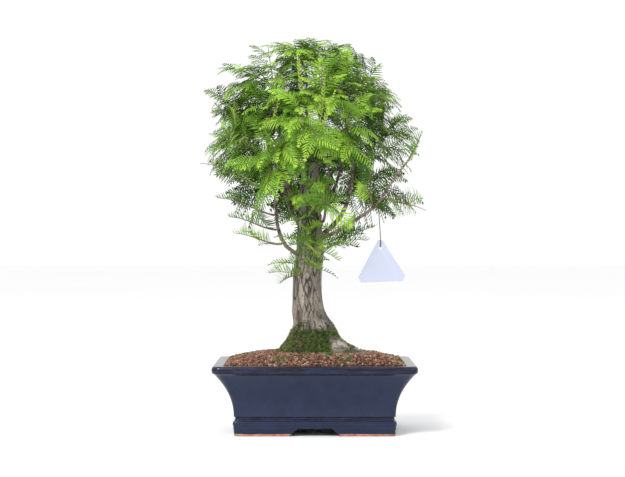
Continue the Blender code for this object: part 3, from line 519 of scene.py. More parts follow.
def connect(tree, *rows):
    """Links: each row is a socket, or a node and its output, and then a node and its input."""
    for *start, target, socket in rows:
        source = start[0] if len(start) == 1 else start[0].outputs[start[1]]
        tree.links.new(source, target.inputs[socket])


# %% Shared effects as node groups
def mottle_group():
    """Two colours in soft clouds: Color and Mask."""
    tree, given, result = new_group(
        "mottling", [("Vector", "Vector", None), ("Scale", "Float", 40.0), ("Contrast", "Float", 0.5),
                     ("Dark", "Color", (0.1, 0.1, 0.1, 1)), ("Light", "Color", (0.3, 0.3, 0.3, 1))],
        [("Color", "Color"), ("Mask", "Float")])
    clouds = node(tree, "TexNoise", Detail=5.0, Roughness=0.6)
    middle = node(tree, "Math", [(1, 0.5)], operation="SUBTRACT")
    spread = node(tree, "Math", [(2, 0.5)], operation="MULTIPLY_ADD", use_clamp=True)
    gain = node(tree, "Math", [(1, 6.0)], operation="MULTIPLY")
    mix = node(tree, "Mix", data_type="RGBA")
    connect(tree, (given, "Vector", clouds, "Vector"), (given, "Scale", clouds, "Scale"),
            (clouds, "Fac", middle, 0), (given, "Contrast", gain, 0), (middle, 0, spread, 0),
            (gain, 0, spread, 1), (spread, 0, mix, "Factor"), (given, "Dark", mix, "A"),
            (given, "Light", mix, "B"), (mix, "Result", result, "Color"),
            (spread, 0, result, "Mask"))
    return tree


def grit_group():
    """A fine uneven surface: Normal and Height."""
    tree, given, result = new_group(
        "grit", [("Vector", "Vector", None), ("Scale", "Float", 400.0), ("Strength", "Float", 0.3),
                 ("Distance", "Float", 0.0005)], [("Normal", "Vector"), ("Height", "Float")])
    grain = node(tree, "TexNoise", Detail=6.0, Roughness=0.65)
    bump = node(tree, "Bump")
    connect(tree, (given, "Vector", grain, "Vector"), (given, "Scale", grain, "Scale"),
            (grain, "Fac", bump, "Height"), (given, "Strength", bump, "Strength"),
            (given, "Distance", bump, "Distance"), (bump, "Normal", result, "Normal"),
            (grain, "Fac", result, "Height"))
    return tree


def dust_group():
    """Dust in clouds on whatever faces up: Color and Mask."""
    tree, given, result = new_group(
        "dust", [("Vector", "Vector", None), ("Color", "Color", (0.1, 0.1, 0.1, 1)),
                 ("Dust", "Color", (0.4, 0.36, 0.3, 1)), ("Amount", "Float", 0.3)],
        [("Color", "Color"), ("Mask", "Float")])
    surface = node(tree, "NewGeometry")
    parts = node(tree, "SeparateXYZ")
    facing = node(tree, "MapRange", From_Min=0.2, From_Max=1.0)
    clouds = node(tree, "TexNoise", Scale=90.0, Detail=4.0)
    patch = node(tree, "Math", operation="MULTIPLY")
    share = node(tree, "Math", operation="MULTIPLY", use_clamp=True)
    mix = node(tree, "Mix", data_type="RGBA")
    connect(tree, (given, "Vector", clouds, "Vector"), (surface, "Normal", parts, 0),
            (parts, "Z", facing, "Value"), (facing, 0, patch, 0), (clouds, "Fac", patch, 1),
            (patch, 0, share, 0), (given, "Amount", share, 1), (share, 0, mix, "Factor"),
            (given, "Color", mix, "A"), (given, "Dust", mix, "B"),
            (mix, "Result", result, "Color"), (share, 0, result, "Mask"))
    return tree


MOTTLING, GRIT, DUST = mottle_group(), grit_group(), dust_group()
print("shared effects:", [group.name for group in (MOTTLING, GRIT, DUST)])

# %% Finishes
def use_group(tree, group, vector, **values):
    """One of the shared effects inside a material, with its sockets set."""
    made = tree.nodes.new("ShaderNodeGroup")
    made.node_tree = group
    tree.links.new(vector, made.inputs["Vector"])
    for name, value in values.items():
        made.inputs[name].default_value = value
    return made


def new_finish(name, **values):
    """A Principled material: its tree, its shader and its Object coordinates."""
    finish = bpy.data.materials.new(name)
    finish.use_nodes = True
    tree = finish.node_tree
    shader = tree.nodes["Principled BSDF"]
    for socket, value in values.items():
        shader.inputs[socket.replace("_", " ")].default_value = value
    place = tree.nodes.new("ShaderNodeTexCoord").outputs["Object"]
    return finish, tree, shader, place


def mottled_finish(name, dark, light, scale, contrast=0.5, grit=(400.0, 0.3, 0.0005), **values):
    """A finish of two mottled colours on a gritty surface, enough for most small pieces."""
    finish, tree, shader, place = new_finish(name, **values)
    clouds = use_group(tree, MOTTLING, place, Scale=scale, Contrast=contrast,
                       Dark=(*dark, 1), Light=(*light, 1))
    bumps = use_group(tree, GRIT, place, Scale=grit[0], Strength=grit[1], Distance=grit[2])
    tree.links.new(clouds.outputs["Color"], shader.inputs["Base Color"])
    tree.links.new(bumps.outputs["Normal"], shader.inputs["Normal"])
    return finish


# %% [markdown]
# ## Pot
#
# The pot is slip-cast stoneware under a glossy navy glaze. Its plan is a rectangle with soft corners.
# One cylinder primitive is cut into rings and drawn out along the pot's profile: up the moulded base,
# over the groove and the hollow-curved wall, round the lip and down inside. Boxes that are scaled and
# bevelled couldn't follow that curve. The arches between the feet, the recess under the floor and the
# drain holes are carved out afterwards, as a potter would.

# %% Pot: profile and corner loops
POT_CORNER_STEPS = 8
FLARE_RINGS = 20
# Rings of the moulded base and of the lip: height, half length, corner radius
GROOVE_HALF = WAIST_HALF_X - GROOVE_DEPTH
BASE_RINGS = (
    (0.0, 0.1214, 0.004), (0.0010, 0.1222, 0.0045), (0.0022, 0.1227, 0.005), (0.0100, 0.1234, 0.006),
    (0.0120, 0.1240, 0.006), (0.0140, 0.1236, 0.006), (0.0155, 0.1241, 0.006), (0.0180, 0.1247, 0.006),
    (0.0205, 0.1245, 0.006), (0.0222, 0.1238, 0.006), (GROOVE_BOTTOM, GROOVE_HALF + 0.0004, 0.006),
    (GROOVE_BOTTOM + 0.0008, GROOVE_HALF, 0.006), (GROOVE_TOP - 0.0012, GROOVE_HALF, 0.006),
    (GROOVE_TOP - 0.0002, WAIST_HALF_X - 0.0008, 0.006),
)
LIP_RINGS = (
    (LIP_BOTTOM + 0.0004, 0.1536, RIM_CORNER), (LIP_BOTTOM + 0.0016, 0.1548, RIM_CORNER),
    (0.0992, 0.1553, RIM_CORNER), (0.1022, RIM_HALF_X, RIM_CORNER), (0.1046, 0.1552, RIM_CORNER),
    (0.1064, 0.1544, RIM_CORNER), (0.1075, 0.1532, RIM_CORNER - 0.001),
    (POT_TOP, 0.1514, RIM_CORNER - 0.002), (POT_TOP, 0.1420, INNER_CORNER + 0.003),
    (POT_TOP - 0.0004, 0.1388, INNER_CORNER + 0.001), (POT_TOP - 0.0022, 0.1372, INNER_CORNER),
)


def half_width(half_length):
    """Half width of the pot where its half length is given: every side is set in alike."""
    return half_length - RIM_HALF_X + RIM_HALF_Y


def rounded_rectangle(half_x, half_y, corner, z):
    """Loop of points around a rectangle with round corners."""
    loop = []
    for turn in range(4):
        mid_x = (half_x - corner) * (1 if turn in (0, 3) else -1)
        mid_y = (half_y - corner) * (1 if turn in (0, 1) else -1)
        for k in range(POT_CORNER_STEPS + 1):
            angle = math.radians(90 * (turn + k / POT_CORNER_STEPS))
            loop.append(Vector((mid_x + corner * math.cos(angle), mid_y + corner * math.sin(angle), z)))
    return loop


def flare_half(z):
    """Half length of the pot's hollow-curved body at a height."""
    rise = (z - GROOVE_TOP) / (LIP_BOTTOM - GROOVE_TOP)
    return WAIST_HALF_X + FLARE * rise ** FLARE_POWER


def inner_half(z):
    """Half length of the pot's inside at a height: straight between the heights of INNER_WALL."""
    for (low, half), (high, next_half) in zip(INNER_WALL, INNER_WALL[1:]):
        if z <= high:
            return half + (next_half - half) * (z - low) / (high - low)
    return INNER_WALL[-1][1]


def pot_profile():
    """(height, half length, corner radius) of every ring, from the foot over the lip to the floor."""
    body = []
    for k in range(FLARE_RINGS):
        share = k / (FLARE_RINGS - 1)
        z = GROOVE_TOP + (LIP_BOTTOM - GROOVE_TOP) * share
        body.append((z, flare_half(z), BODY_CORNER + (RIM_CORNER - BODY_CORNER) * share ** 2))
    inside = [(z, half, INNER_CORNER) for z, half in reversed(INNER_WALL[:-1])]
    return [*BASE_RINGS, *body, *LIP_RINGS, *inside]


# %% [markdown]
# ## Glaze
#
# Glaze runs while it is hot. It lies thin and even on the wall, and is wiped off where the feet stand
# in the kiln, so bare clay shows there. The lip is painted darker for the dark reflection it shows,
# and the groove is painted with its shade. Painting these zones would need a map. Here the height in
# Object coordinates decides, and noise frays the edges.

# %% Pot: glaze
GLAZE_FADE = 0.0006
BARE_CLAY_TOP = 0.0022


def glaze_finish():
    """Navy glaze, painted darker on the lip for its reflection and in the groove for its shade, bare clay
    where the feet stand, and a little dust.
    """
    finish, tree, shader, place = new_finish("navy_glaze", Roughness=0.20, Coat_Weight=0.15,
                                             Coat_Roughness=0.06, Specular_IOR_Level=0.25)
    clouds = use_group(tree, MOTTLING, place, Scale=55.0, Contrast=0.35,
                       Dark=(0.004, 0.010, 0.034, 1), Light=(0.009, 0.017, 0.048, 1))
    # Painted dark glaze: the lip's darker reflection and the shade in the groove, streaked
    streak = node(tree, "Mapping", [("Scale", (1.0, 1.0, 6.0))])
    painted_dark_glaze = use_group(tree, MOTTLING, streak.outputs[0], Scale=38.0, Contrast=0.9,
                       Dark=(0.0005, 0.001, 0.008, 1), Light=(0.008, 0.011, 0.040, 1))
    on_lip = node(tree, "MapRange", From_Min=LIP_BOTTOM - 0.0010, From_Max=LIP_BOTTOM + GLAZE_FADE)
    over_groove = node(tree, "MapRange", From_Min=GROOVE_BOTTOM - GLAZE_FADE, From_Max=GROOVE_BOTTOM)
    under_groove = node(tree, "MapRange", From_Min=GROOVE_TOP + GLAZE_FADE, From_Max=GROOVE_TOP)
    # The groove's band paints its shade; with the lip's band it picks where the darker glaze is painted
    groove_shade_mask = node(tree, "Math", operation="MULTIPLY")
    painted_lip_and_groove_mask = node(tree, "Math", operation="MAXIMUM")
    glaze = node(tree, "Mix", data_type="RGBA")
    clay = use_group(tree, MOTTLING, place, Scale=120.0, Contrast=0.5,
                     Dark=(0.300, 0.120, 0.075, 1), Light=(0.480, 0.260, 0.200, 1))
    parts = node(tree, "SeparateXYZ")
    edge = node(tree, "TexNoise", Scale=70.0, Detail=3.0)
    wander = node(tree, "Math", [(1, -0.0022)], operation="MULTIPLY_ADD")
    bare = node(tree, "MapRange", From_Min=BARE_CLAY_TOP + 0.0004, From_Max=BARE_CLAY_TOP)
    mix = node(tree, "Mix", data_type="RGBA")
    dull = node(tree, "MapRange", To_Min=0.20, To_Max=0.85)
    dust = use_group(tree, DUST, place, Dust=(0.30, 0.24, 0.20, 1), Amount=0.10)
    bumps = use_group(tree, GRIT, place, Scale=60.0, Strength=0.10, Distance=0.0006)
    connect(tree, (place, parts, 0), (place, streak, "Vector"))
    for band in (on_lip, over_groove, under_groove):
        connect(tree, (parts, "Z", band, "Value"))
    connect(tree, (over_groove, 0, groove_shade_mask, 0), (under_groove, 0, groove_shade_mask, 1),
            (on_lip, 0, painted_lip_and_groove_mask, 0), (groove_shade_mask, 0, painted_lip_and_groove_mask, 1), (painted_lip_and_groove_mask, 0, glaze, "Factor"),
            (clouds, "Color", glaze, "A"), (painted_dark_glaze, "Color", glaze, "B"), (place, edge, "Vector"),
            (edge, "Fac", wander, 0), (parts, "Z", wander, 2), (wander, 0, bare, "Value"),
            (bare, 0, mix, "Factor"), (glaze, "Result", mix, "A"), (clay, "Color", mix, "B"),
            (mix, "Result", dust, "Color"), (dust, "Color", shader, "Base Color"),
            (bare, 0, dull, "Value"), (dull, 0, shader, "Roughness"),
            (bumps, "Normal", shader, "Normal"))
    return finish


# %% Pot: draw it out, carve it and glaze it
POT_SHARP = 35


def box_cutter(low, high, spread=0.0, axis=0):
    """A cube primitive between two corners; its lower half is wider along the axis by spread."""
    cutter = primitive(bpy.ops.mesh.primitive_cube_add, size=1)
    low, high = Vector(low), Vector(high)
    for vertex in cutter.data.vertices:
        if vertex.co.z < 0:
            vertex.co[axis] += math.copysign(spread / (high[axis] - low[axis]), vertex.co[axis])
        share = vertex.co + Vector((0.5, 0.5, 0.5))
        vertex.co = Vector(low[k] + (high[k] - low[k]) * share[k] for k in range(3))
    return cutter


def make_pot():
    """The pot piece."""
    rows = pot_profile()
    loops = [rounded_rectangle(half, half_width(half), corner, z) for z, half, corner in rows]
    pot = swept_cylinder("pot_glazed", len(loops[0]), len(rows), lambda ring, side: loops[ring][side],
                         glaze_finish(), POT_SHARP)
    # The cutters start below the feet and, for the arches, beyond the walls
    below, beyond = 0.01, 0.2
    inset_x = BASE_RINGS[2][1] - FOOT_WIDTH
    inset_y = half_width(inset_x)
    cutters = [box_cutter((-inset_x, -inset_y, -below), (inset_x, inset_y, FLOOR_UNDERSIDE))]
    slope = (ARCH_HALF_FOOT - ARCH_HALF_TOP) / ARCH_HEIGHT * (ARCH_HEIGHT + below)
    for share, axis in ((1.0, 0), (SIDE_ARCH_SHARE, 1)):
        half = [beyond, beyond]
        half[axis] = ARCH_HALF_TOP * share
        cutters.append(box_cutter((-half[0], -half[1], -below),
                                  (half[0], half[1], ARCH_HEIGHT - 0.0001), slope * share, axis))
    carve(pot, cutters)
    carve(pot, [primitive(bpy.ops.mesh.primitive_cylinder_add, vertices=32, radius=DRAIN_RADIUS,
                          depth=0.02, location=(side * DRAIN_X, 0, FLOOR_TOP)) for side in (-1, 1)])
    shade(pot, POT_SHARP)
    dress(pot, "navy_glaze", "pot")


make_pot()

# %% [markdown]
# ## Soil
#
# Bonsai soil is baked clay grit, brown to brick red, in grains of 3 to 5 mm. A particle system could
# scatter them, but arrays give the same heap each time and one plain mesh. The CAD solid stays as the
# bed. On it lie some thousand grains: one low ico sphere, copied with its own size, turn and dents,
# half sunk in the bed, in three joined heaps of three colours.

# %% Soil: bed and grains
# Half sizes of grains, room for each in a row, how far it may lie off its place, and how deep in
# the bed or high on it, as a share of its size
GRAIN_SIZE = (0.0016, 0.0029)
GRAIN_STEP = 0.0035
GRAIN_OFF = 0.0014
GRAIN_LIFT = (0.1, 0.8)
# Colours with their dark and light ends, and how often each one comes
GRAINS = (
    ("brick", (0.130, 0.050, 0.028), (0.340, 0.160, 0.095), 5),
    ("brown", (0.040, 0.021, 0.014), (0.170, 0.090, 0.058), 4),
    ("pale", (0.210, 0.140, 0.100), (0.420, 0.310, 0.230), 1.4),
)


def soil_height(x, y):
    """Height of the soil's top under a place, by a ray straight down on the CAD solid."""
    hit, point, _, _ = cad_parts["soil"].ray_cast((x, y, 0.3), (0, 0, -1))
    return point.z if hit else None


def make_soil():
    """The finish of the bed, and the grains on it."""
    refinish(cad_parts["soil"],
             mottled_finish("soil_bed", (0.025, 0.012, 0.008), (0.110, 0.055, 0.036), 260.0, 0.8,
                            (700.0, 1.0, 0.002), Roughness=0.95))
    ball = primitive(bpy.ops.mesh.primitive_ico_sphere_add, subdivisions=1, radius=1)
    points = np.array([vertex.co for vertex in ball.data.vertices])
    faces = [tuple(face.vertices) for face in ball.data.polygons]
    bpy.data.objects.remove(ball)
    heaps = [Heap() for _ in GRAINS]
    rng = random.Random("grains")
    half_x = inner_half(SOIL_EDGE) - 0.0022
    half_y = half_width(half_x)
    columns, rows = int(2 * half_x / GRAIN_STEP), int(2 * half_y / GRAIN_STEP)
    for column in range(columns + 1):
        for row in range(rows + 1):
            x = -half_x + 2 * half_x * column / columns + rng.uniform(-GRAIN_OFF, GRAIN_OFF)
            y = -half_y + 2 * half_y * row / rows + rng.uniform(-GRAIN_OFF, GRAIN_OFF)
            x, y = max(-half_x, min(half_x, x)), max(-half_y, min(half_y, y))
            z = soil_height(x, y)
            kind = rng.choices((0, 1, 2), [often for _, _, _, often in GRAINS])[0]
            size = rng.uniform(*GRAIN_SIZE)
            turn = Matrix.Rotation(rng.uniform(0, 6.28), 3, Vector((rng.random(), rng.random(), 1)))
            dents = np.array([rng.uniform(0.78, 1.15) for _ in points])[:, None]
            stretch = np.array((rng.uniform(0.8, 1.25), rng.uniform(0.8, 1.1), 0.8))
            # No grain lies under the trunk
            if z is None or math.hypot(x, y) < trunk_radius(math.atan2(y, x), GROUND) - 0.004:
                continue
            grain = (points * dents * stretch * size) @ np.array(turn).T
            heaps[kind].add(grain + np.array((x, y, z + size * rng.uniform(*GRAIN_LIFT))), faces)
    for (name, dark, light, _), heap in zip(GRAINS, heaps):
        finish = mottled_finish("grain_" + name, dark, light, 500.0, 0.6, (1500.0, 0.6, 0.0005),
                                Roughness=0.92)
        dress(heap.piece("soil_grains_" + name, finish), "grit_soil")


make_soil()

# %% [markdown]
# ## Trunk
#
# Dawn redwood bark is fibrous. It splits lengthwise into long plates that peel and leave a pinkish
# grey ground, with deep cracks between them. Bump in the finish alone would leave the outline
# smooth, so the cracks are real relief: the trunk is one finely cut cylinder, drawn out to the CAD
# trunk's form and pressed in where a crack runs. The depth is kept as an attribute of the mesh, so
# that the finish can paint the shade of the same cracks near black.

# %% Trunk: bark relief
TRUNK_BARK_SIDES = 210
TRUNK_BARK_RINGS = 241
CRACK_DEPTH = 0.0019
PLATE_SWELL = 0.0006
FIBRE_SWELL = 0.00035
# How fine the noise of the cracks is along the trunk and across it
CRACK_LENGTHWISE = 30
CRACK_ACROSS = 135


def stretched_noise(place, fine, lengthwise):
    """Noise at a place on the trunk, drawn out along it."""
    return noise.noise(Vector((place.x * fine, place.y * fine, place.z * lengthwise)))


def crack_share(place):
    """How far a place lies inside a crack, from 0 to 1: thin lines where a stretched noise is zero."""
    grid = Vector((place.x * CRACK_ACROSS, place.y * CRACK_ACROSS, place.z * CRACK_LENGTHWISE))
    broad = noise.noise(grid)
    bend = noise.noise(grid * 2.3 + Vector((7.1, 3.7, 1.9)))
    first = max(0.0, 1 - abs(broad + 0.25 * bend) / 0.15)
    second = max(0.0, 1 - abs(bend - 0.12) / 0.10)
    return min(1.0, first + 0.55 * second)


# %% Trunk: finish
def bark_finish(name, ground, plate, crack, low_dark):
    """Bark: plates and bared ground in clouds, painted shade in the cracks, and a greener, darker foot.
    """
    finish, tree, shader, place = new_finish(name, Roughness=0.88)
    stretch = node(tree, "Mapping", [("Scale", (1.0, 1.0, 0.22))])
    fibres = use_group(tree, MOTTLING, place, Scale=190.0, Contrast=0.75,
                       Dark=(*(0.55 * c for c in ground), 1), Light=(*ground, 1))
    plates = use_group(tree, MOTTLING, place, Scale=38.0, Contrast=1.0)
    pale = use_group(tree, MOTTLING, place, Scale=260.0, Contrast=0.5,
                     Dark=(*(0.70 * c for c in plate), 1), Light=(*plate, 1))
    spots = use_group(tree, MOTTLING, place, Scale=75.0, Contrast=1.3)
    peel = node(tree, "Mix", data_type="RGBA")
    # Painted shade: the cracks are painted near black, as deep as they lie
    crack_shaded = node(tree, "Mix", [("B", (*crack, 1))], data_type="RGBA")
    depth = node(tree, "Attribute", attribute_name="crack")
    parts = node(tree, "SeparateXYZ")
    foot = node(tree, "MapRange", From_Min=0.190, From_Max=0.130, To_Max=0.75)
    blotch = node(tree, "Math", operation="MULTIPLY", use_clamp=True)
    footed = node(tree, "Mix", [("B", (*low_dark, 1))], data_type="RGBA")
    bumps = use_group(tree, GRIT, place, Scale=420.0, Strength=0.8, Distance=0.0012)
    connect(tree, (place, stretch, "Vector"))
    for effect in (fibres, plates, pale, bumps):
        connect(tree, (stretch, 0, effect, "Vector"))
    connect(tree, (plates, "Mask", peel, "Factor"), (fibres, "Color", peel, "A"),
            (pale, "Color", peel, "B"), (place, parts, 0), (parts, "Z", foot, "Value"),
            (foot, 0, blotch, 0), (spots, "Mask", blotch, 1), (blotch, 0, footed, "Factor"),
            (peel, "Result", footed, "A"), (depth, "Fac", crack_shaded, "Factor"),
            (footed, "Result", crack_shaded, "A"), (crack_shaded, "Result", shader, "Base Color"),
            (bumps, "Normal", shader, "Normal"))
    return finish


# %% Trunk: draw it out
def keep_cracks(piece, depths):
    """Store the depth of the cracks on the mesh, one number a vertex."""
    store = piece.data.attributes.new("crack", "FLOAT", "POINT")
    store.data.foreach_set("value", depths)


def make_trunk():
    """The trunk piece, in the same flare and taper as the CAD trunk."""
    cracks = {}
    top = TRUNK_BARK_RINGS - 1

    def place(ring, side):
        z = GROUND + (TRUNK_TOP - GROUND) * ring / top
        angle = 2 * math.pi * side / TRUNK_BARK_SIDES
        point = trunk_point(angle, z)
        depth = crack_share(point)
        push = (PLATE_SWELL * stretched_noise(point, 60, 24)
                + FIBRE_SWELL * stretched_noise(point, 420, 60) - CRACK_DEPTH * depth)
        # Shallower at the very top, where the leaders stand
        shrink = 0.6 if ring > top - 8 else 1.0
        made = point + Vector((math.cos(angle), math.sin(angle), 0)) * push * shrink
        cracks[tuple(round(c, 7) for c in made)] = depth
        return made

    # The third colour is the painted shade of the cracks
    bark = bark_finish("bark", (0.130, 0.110, 0.088), (0.370, 0.320, 0.265), (0.012, 0.010, 0.007),
                       (0.030, 0.032, 0.020))
    trunk = swept_cylinder("trunk_bark", TRUNK_BARK_SIDES, TRUNK_BARK_RINGS, place, bark, 60)
    keep_cracks(trunk, [cracks.get(tuple(round(c, 7) for c in vertex.co), 0.0)
                        for vertex in trunk.data.vertices])
    dress(trunk, "bark", "trunk")


make_trunk()

# %% [markdown]
# ## Boughs
#
# The boughs are thin and smooth-barked, brown with grey flakes. A bevelled curve would give an even
# tube. Each bough is a cylinder primitive again instead, drawn out along the same curve as its CAD
# limb, with small swellings such as side twigs leave, and a rough skin.

# %% Boughs and leaders
LIMB_BARK_SIDES = 14
LIMB_BARK_RINGS = 73


def make_limb(name, bark):
    """One bough or leader, from inside the trunk to its tip."""
    last = LIMB_BARK_RINGS - 1
    frames = []
    side = ANY_SIDE
    for ring in range(LIMB_BARK_RINGS):
        along = limb_direction(name, ring / last)
        side = across(along, side)
        frames.append((limb_point(name, ring / last), side, along.cross(side)))

    def place(ring, number):
        here, side_way, other_way = frames[ring]
        turn = 2 * math.pi * number / LIMB_BARK_SIDES
        outward = side_way * math.cos(turn) + other_way * math.sin(turn)
        spot = here + outward * 0.003
        knots = max(0.0, noise.noise(here * 70)) * 0.22
        rough = 0.16 * noise.noise(Vector((spot.x * 300, spot.y * 300, spot.z * 120)))
        return here + outward * limb_radius(name, ring / last) * (1 + knots + rough)

    limb = swept_cylinder(name + "_bark", LIMB_BARK_SIDES, LIMB_BARK_RINGS, place, bark, 70)
    dress(limb, "limb_bark", name)


LIMB_FINISH = mottled_finish("limb_bark", (0.060, 0.040, 0.030), (0.270, 0.210, 0.175), 210.0, 0.8,
                             (600.0, 0.8, 0.0006), Roughness=0.82)
for limb_name in LIMBS:
    make_limb(limb_name, LIMB_FINISH)

# %% [markdown]
# ## Moss
#
# Moss hugs the foot of the trunk and lies in small pads on the soil. Close up it is a crowd of tiny
# pointed leaves, bright green where it is fresh and olive or straw coloured where it has dried. Hair
# particles could stand for them, but a hair isn't a mesh. So the CAD mound stays as the ground, and
# thousands of leaves of one triangle each stand on it, up the bark and out over the soil.

# %% Moss: ground and tufts
MOSS_LEAVES = 15000
MOSS_LEAF = (0.0018, 0.0042)
MOSS_PADS = ((-0.121, -0.030, 0.010), (-0.112, 0.050, 0.012), (-0.052, -0.078, 0.013),
             (0.048, -0.080, 0.014), (0.132, -0.058, 0.009), (0.020, -0.062, 0.010),
             (-0.015, -0.060, 0.012), (0.095, 0.070, 0.012))
PAD_LEAVES = 420
# Tries for leaves on the bark over the mound, on the soil round it, and on the root
MOSS_CLIMBERS = 7000
# Colours from dry to fresh, each with its dark and light end
MOSS_GREENS = (
    ("dry", (0.160, 0.150, 0.065), (0.400, 0.360, 0.180)),
    ("olive", (0.040, 0.052, 0.014), (0.190, 0.210, 0.060)),
    ("fresh", (0.045, 0.090, 0.012), (0.170, 0.290, 0.040)),
)
LEAF_HALF_WIDTH = 0.16
LEAF_STRAY = 0.35


def any_way(rng, lowest=-1.0):
    """A random direction, of any length up to that of a cube's corner."""
    return Vector((rng.uniform(-1, 1), rng.uniform(-1, 1), rng.uniform(lowest, 1)))


def moss_leaf(root, out, length, rng):
    """The three corners of one pointed moss leaf, whose tip strays and droops."""
    sideways = across(out, any_way(rng)) * length * LEAF_HALF_WIDTH
    stray = Vector((rng.uniform(-1, 1), rng.uniform(-1, 1), -0.4))
    tip = root + out * length + stray * length * LEAF_STRAY
    return (root - sideways, root + sideways, tip)


def from_root(angle):
    """Degrees between a compass direction and the main root's."""
    return abs((math.degrees(angle) - ROOTS[0][0] + 180) % 360 - 180)


def off_trunk(angle, rise):
    """Direction away from the trunk, and up by rise."""
    return Vector((math.cos(angle), math.sin(angle), rise)).normalized()


def moss_fresh(place):
    """How fresh the moss is at a place, from 0 to 1: patches, and fresher to the front right."""
    patch = noise.noise(place * 55) * 0.9
    return 0.35 + patch + 0.5 * math.exp(-((place.x - 0.018) / 0.02) ** 2) * (place.y < 0)


class Moss:
    """Leaves of moss on their way into one mesh for each colour."""

    def __init__(self):
        self.heaps = [Heap() for _ in MOSS_GREENS]
        self.rng = random.Random("moss")

    def leaf(self, place, out):
        """One leaf, fresh or dry by its place."""
        way = (out + any_way(self.rng, -0.3) * 0.7).normalized()
        fresh = moss_fresh(place) + self.rng.uniform(-0.25, 0.25)
        kind = 2 if fresh > 0.62 else (1 if fresh > 0.12 or self.rng.random() < 0.5 else 0)
        leaf = moss_leaf(place - out * 0.0004, way, self.rng.uniform(*MOSS_LEAF), self.rng)
        self.heaps[kind].add(leaf, [(0, 1, 2)])

    def on_mound(self, mound):
        """Leaves all over the outer faces of the mound."""
        outer = [face for face in mound.data.polygons
                 if face.area > 1e-9 and face.center.z > GROUND + 0.0006]
        weights = []
        for face in outer:
            away = face.center - trunk_middle(face.center.z)
            weights.append(face.area if face.normal.dot(away) > 0 else 0.0)
        for face in self.rng.choices(outer, weights, k=MOSS_LEAVES):
            corners = [mound.data.vertices[k].co for k in face.vertices]
            a, b = sorted((self.rng.random(), self.rng.random()))
            self.leaf(corners[0] * a + corners[1] * (b - a) + corners[2] * (1 - b), face.normal.copy())

    def over_mound(self):
        """Leaves that climb from the mound's upper edge into the bark, fewer the higher they get."""
        for _ in range(MOSS_CLIMBERS):
            angle = self.rng.uniform(0, 2 * math.pi)
            z = self.rng.uniform(MOSS_TOP - 0.010, MOSS_TOP + 0.016)
            place = trunk_point(angle, z)
            share = 0.9 - (z - MOSS_TOP) / 0.013 + 2.2 * noise.noise(place * 45)
            if from_root(angle) > 17 + 14 * noise.noise(place * 70) and self.rng.random() < share:
                self.leaf(place, off_trunk(angle, 0.2))

    def round_mound(self):
        """Leaves on the soil round the mound, fewer the further out."""
        for _ in range(MOSS_CLIMBERS):
            angle, beyond = self.rng.uniform(0, 2 * math.pi), self.rng.uniform(0.002, 0.020)
            spot = trunk_point(angle, GROUND, beyond)
            z = soil_height(spot.x, spot.y)
            if (z and from_root(angle) > 14
                    and self.rng.random() < 1.2 - beyond / 0.016 + 1.4 * noise.noise(spot * 50)):
                self.leaf(Vector((spot.x, spot.y, z + 0.0016)), Vector((0, 0, 1)))

    def on_root(self):
        """Patches on the main root, thicker along its two flanks."""
        for _ in range(MOSS_CLIMBERS):
            turn, z = self.rng.uniform(-44, 34), self.rng.uniform(GROUND, MOSS_TOP)
            angle = math.radians(ROOTS[0][0] + turn)
            place = trunk_point(angle, z)
            flank = 0.5 if turn > 8 or turn < -26 else 0.0
            if self.rng.random() < 0.20 + 1.5 * noise.noise(place * 48) + flank:
                self.leaf(place, off_trunk(angle, 0.6))

    def pad(self, x, y, size):
        """One three-lobed pad on the soil."""
        for _ in range(PAD_LEAVES):
            turn, reach = self.rng.uniform(0, 6.28), size * math.sqrt(self.rng.random())
            reach *= 0.75 + 0.35 * math.sin(3 * turn + x * 100)
            spot = (x + reach * math.cos(turn) * 1.3, y + reach * math.sin(turn))
            z = soil_height(*spot)
            if z:
                self.leaf(Vector((*spot, z + 0.0022 * (1 - reach / size) + 0.0008)), Vector((0, 0, 1)))


# %% Moss: grow it
def make_moss():
    """The ground of the mound, its leaves, and the pads on the soil."""
    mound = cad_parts["moss"]
    refinish(mound, mottled_finish("moss_ground", (0.012, 0.016, 0.006), (0.070, 0.090, 0.025), 180.0,
                                   0.9, (500.0, 1.0, 0.003), Roughness=0.97))
    moss = Moss()
    moss.on_mound(mound)
    moss.over_mound()
    moss.round_mound()
    moss.on_root()
    for x, y, size in MOSS_PADS:
        moss.pad(x, y, size)
    for (name, dark, light), heap in zip(MOSS_GREENS, moss.heaps):
        finish = mottled_finish("moss_" + name, dark, light, 160.0, 0.7, (900.0, 0.3, 0.0003),
                                Roughness=0.85)
        dress(heap.piece("moss_leaves_" + name, finish), "moss")


make_moss()

# %% [markdown]
# ## Foliage: where the shoots grow
#
# Every mass of foliage grows by one seeded rule, the same as in the CAD model: a stem leaves its bough,
# side shoots leave the stem in pairs, and a shoot that would leave its mass's space or touch a limb is
# made shorter or left out. The shoots could be read off the CAD meshes, but the rule is shorter and
# gives clean curves. With the same seeds the shoots come out in the same places.

# %% The wire, which foliage keeps clear of
def tag_limb_share():
    """Share of the far right bough's length at which the wire hangs."""
    shares = [k / 400 for k in range(401)]
    return min(shares, key=lambda share: abs(limb_point("bough_far_right", share).x - TAG_LIMB_X))


def wire_plane():
    """Y of the wire where it hangs down in front of the bough."""
    share = tag_limb_share()
    reach = limb_radius("bough_far_right", share) + WIRE_RADIUS + 2 * GAP
    return limb_point("bough_far_right", share).y - reach


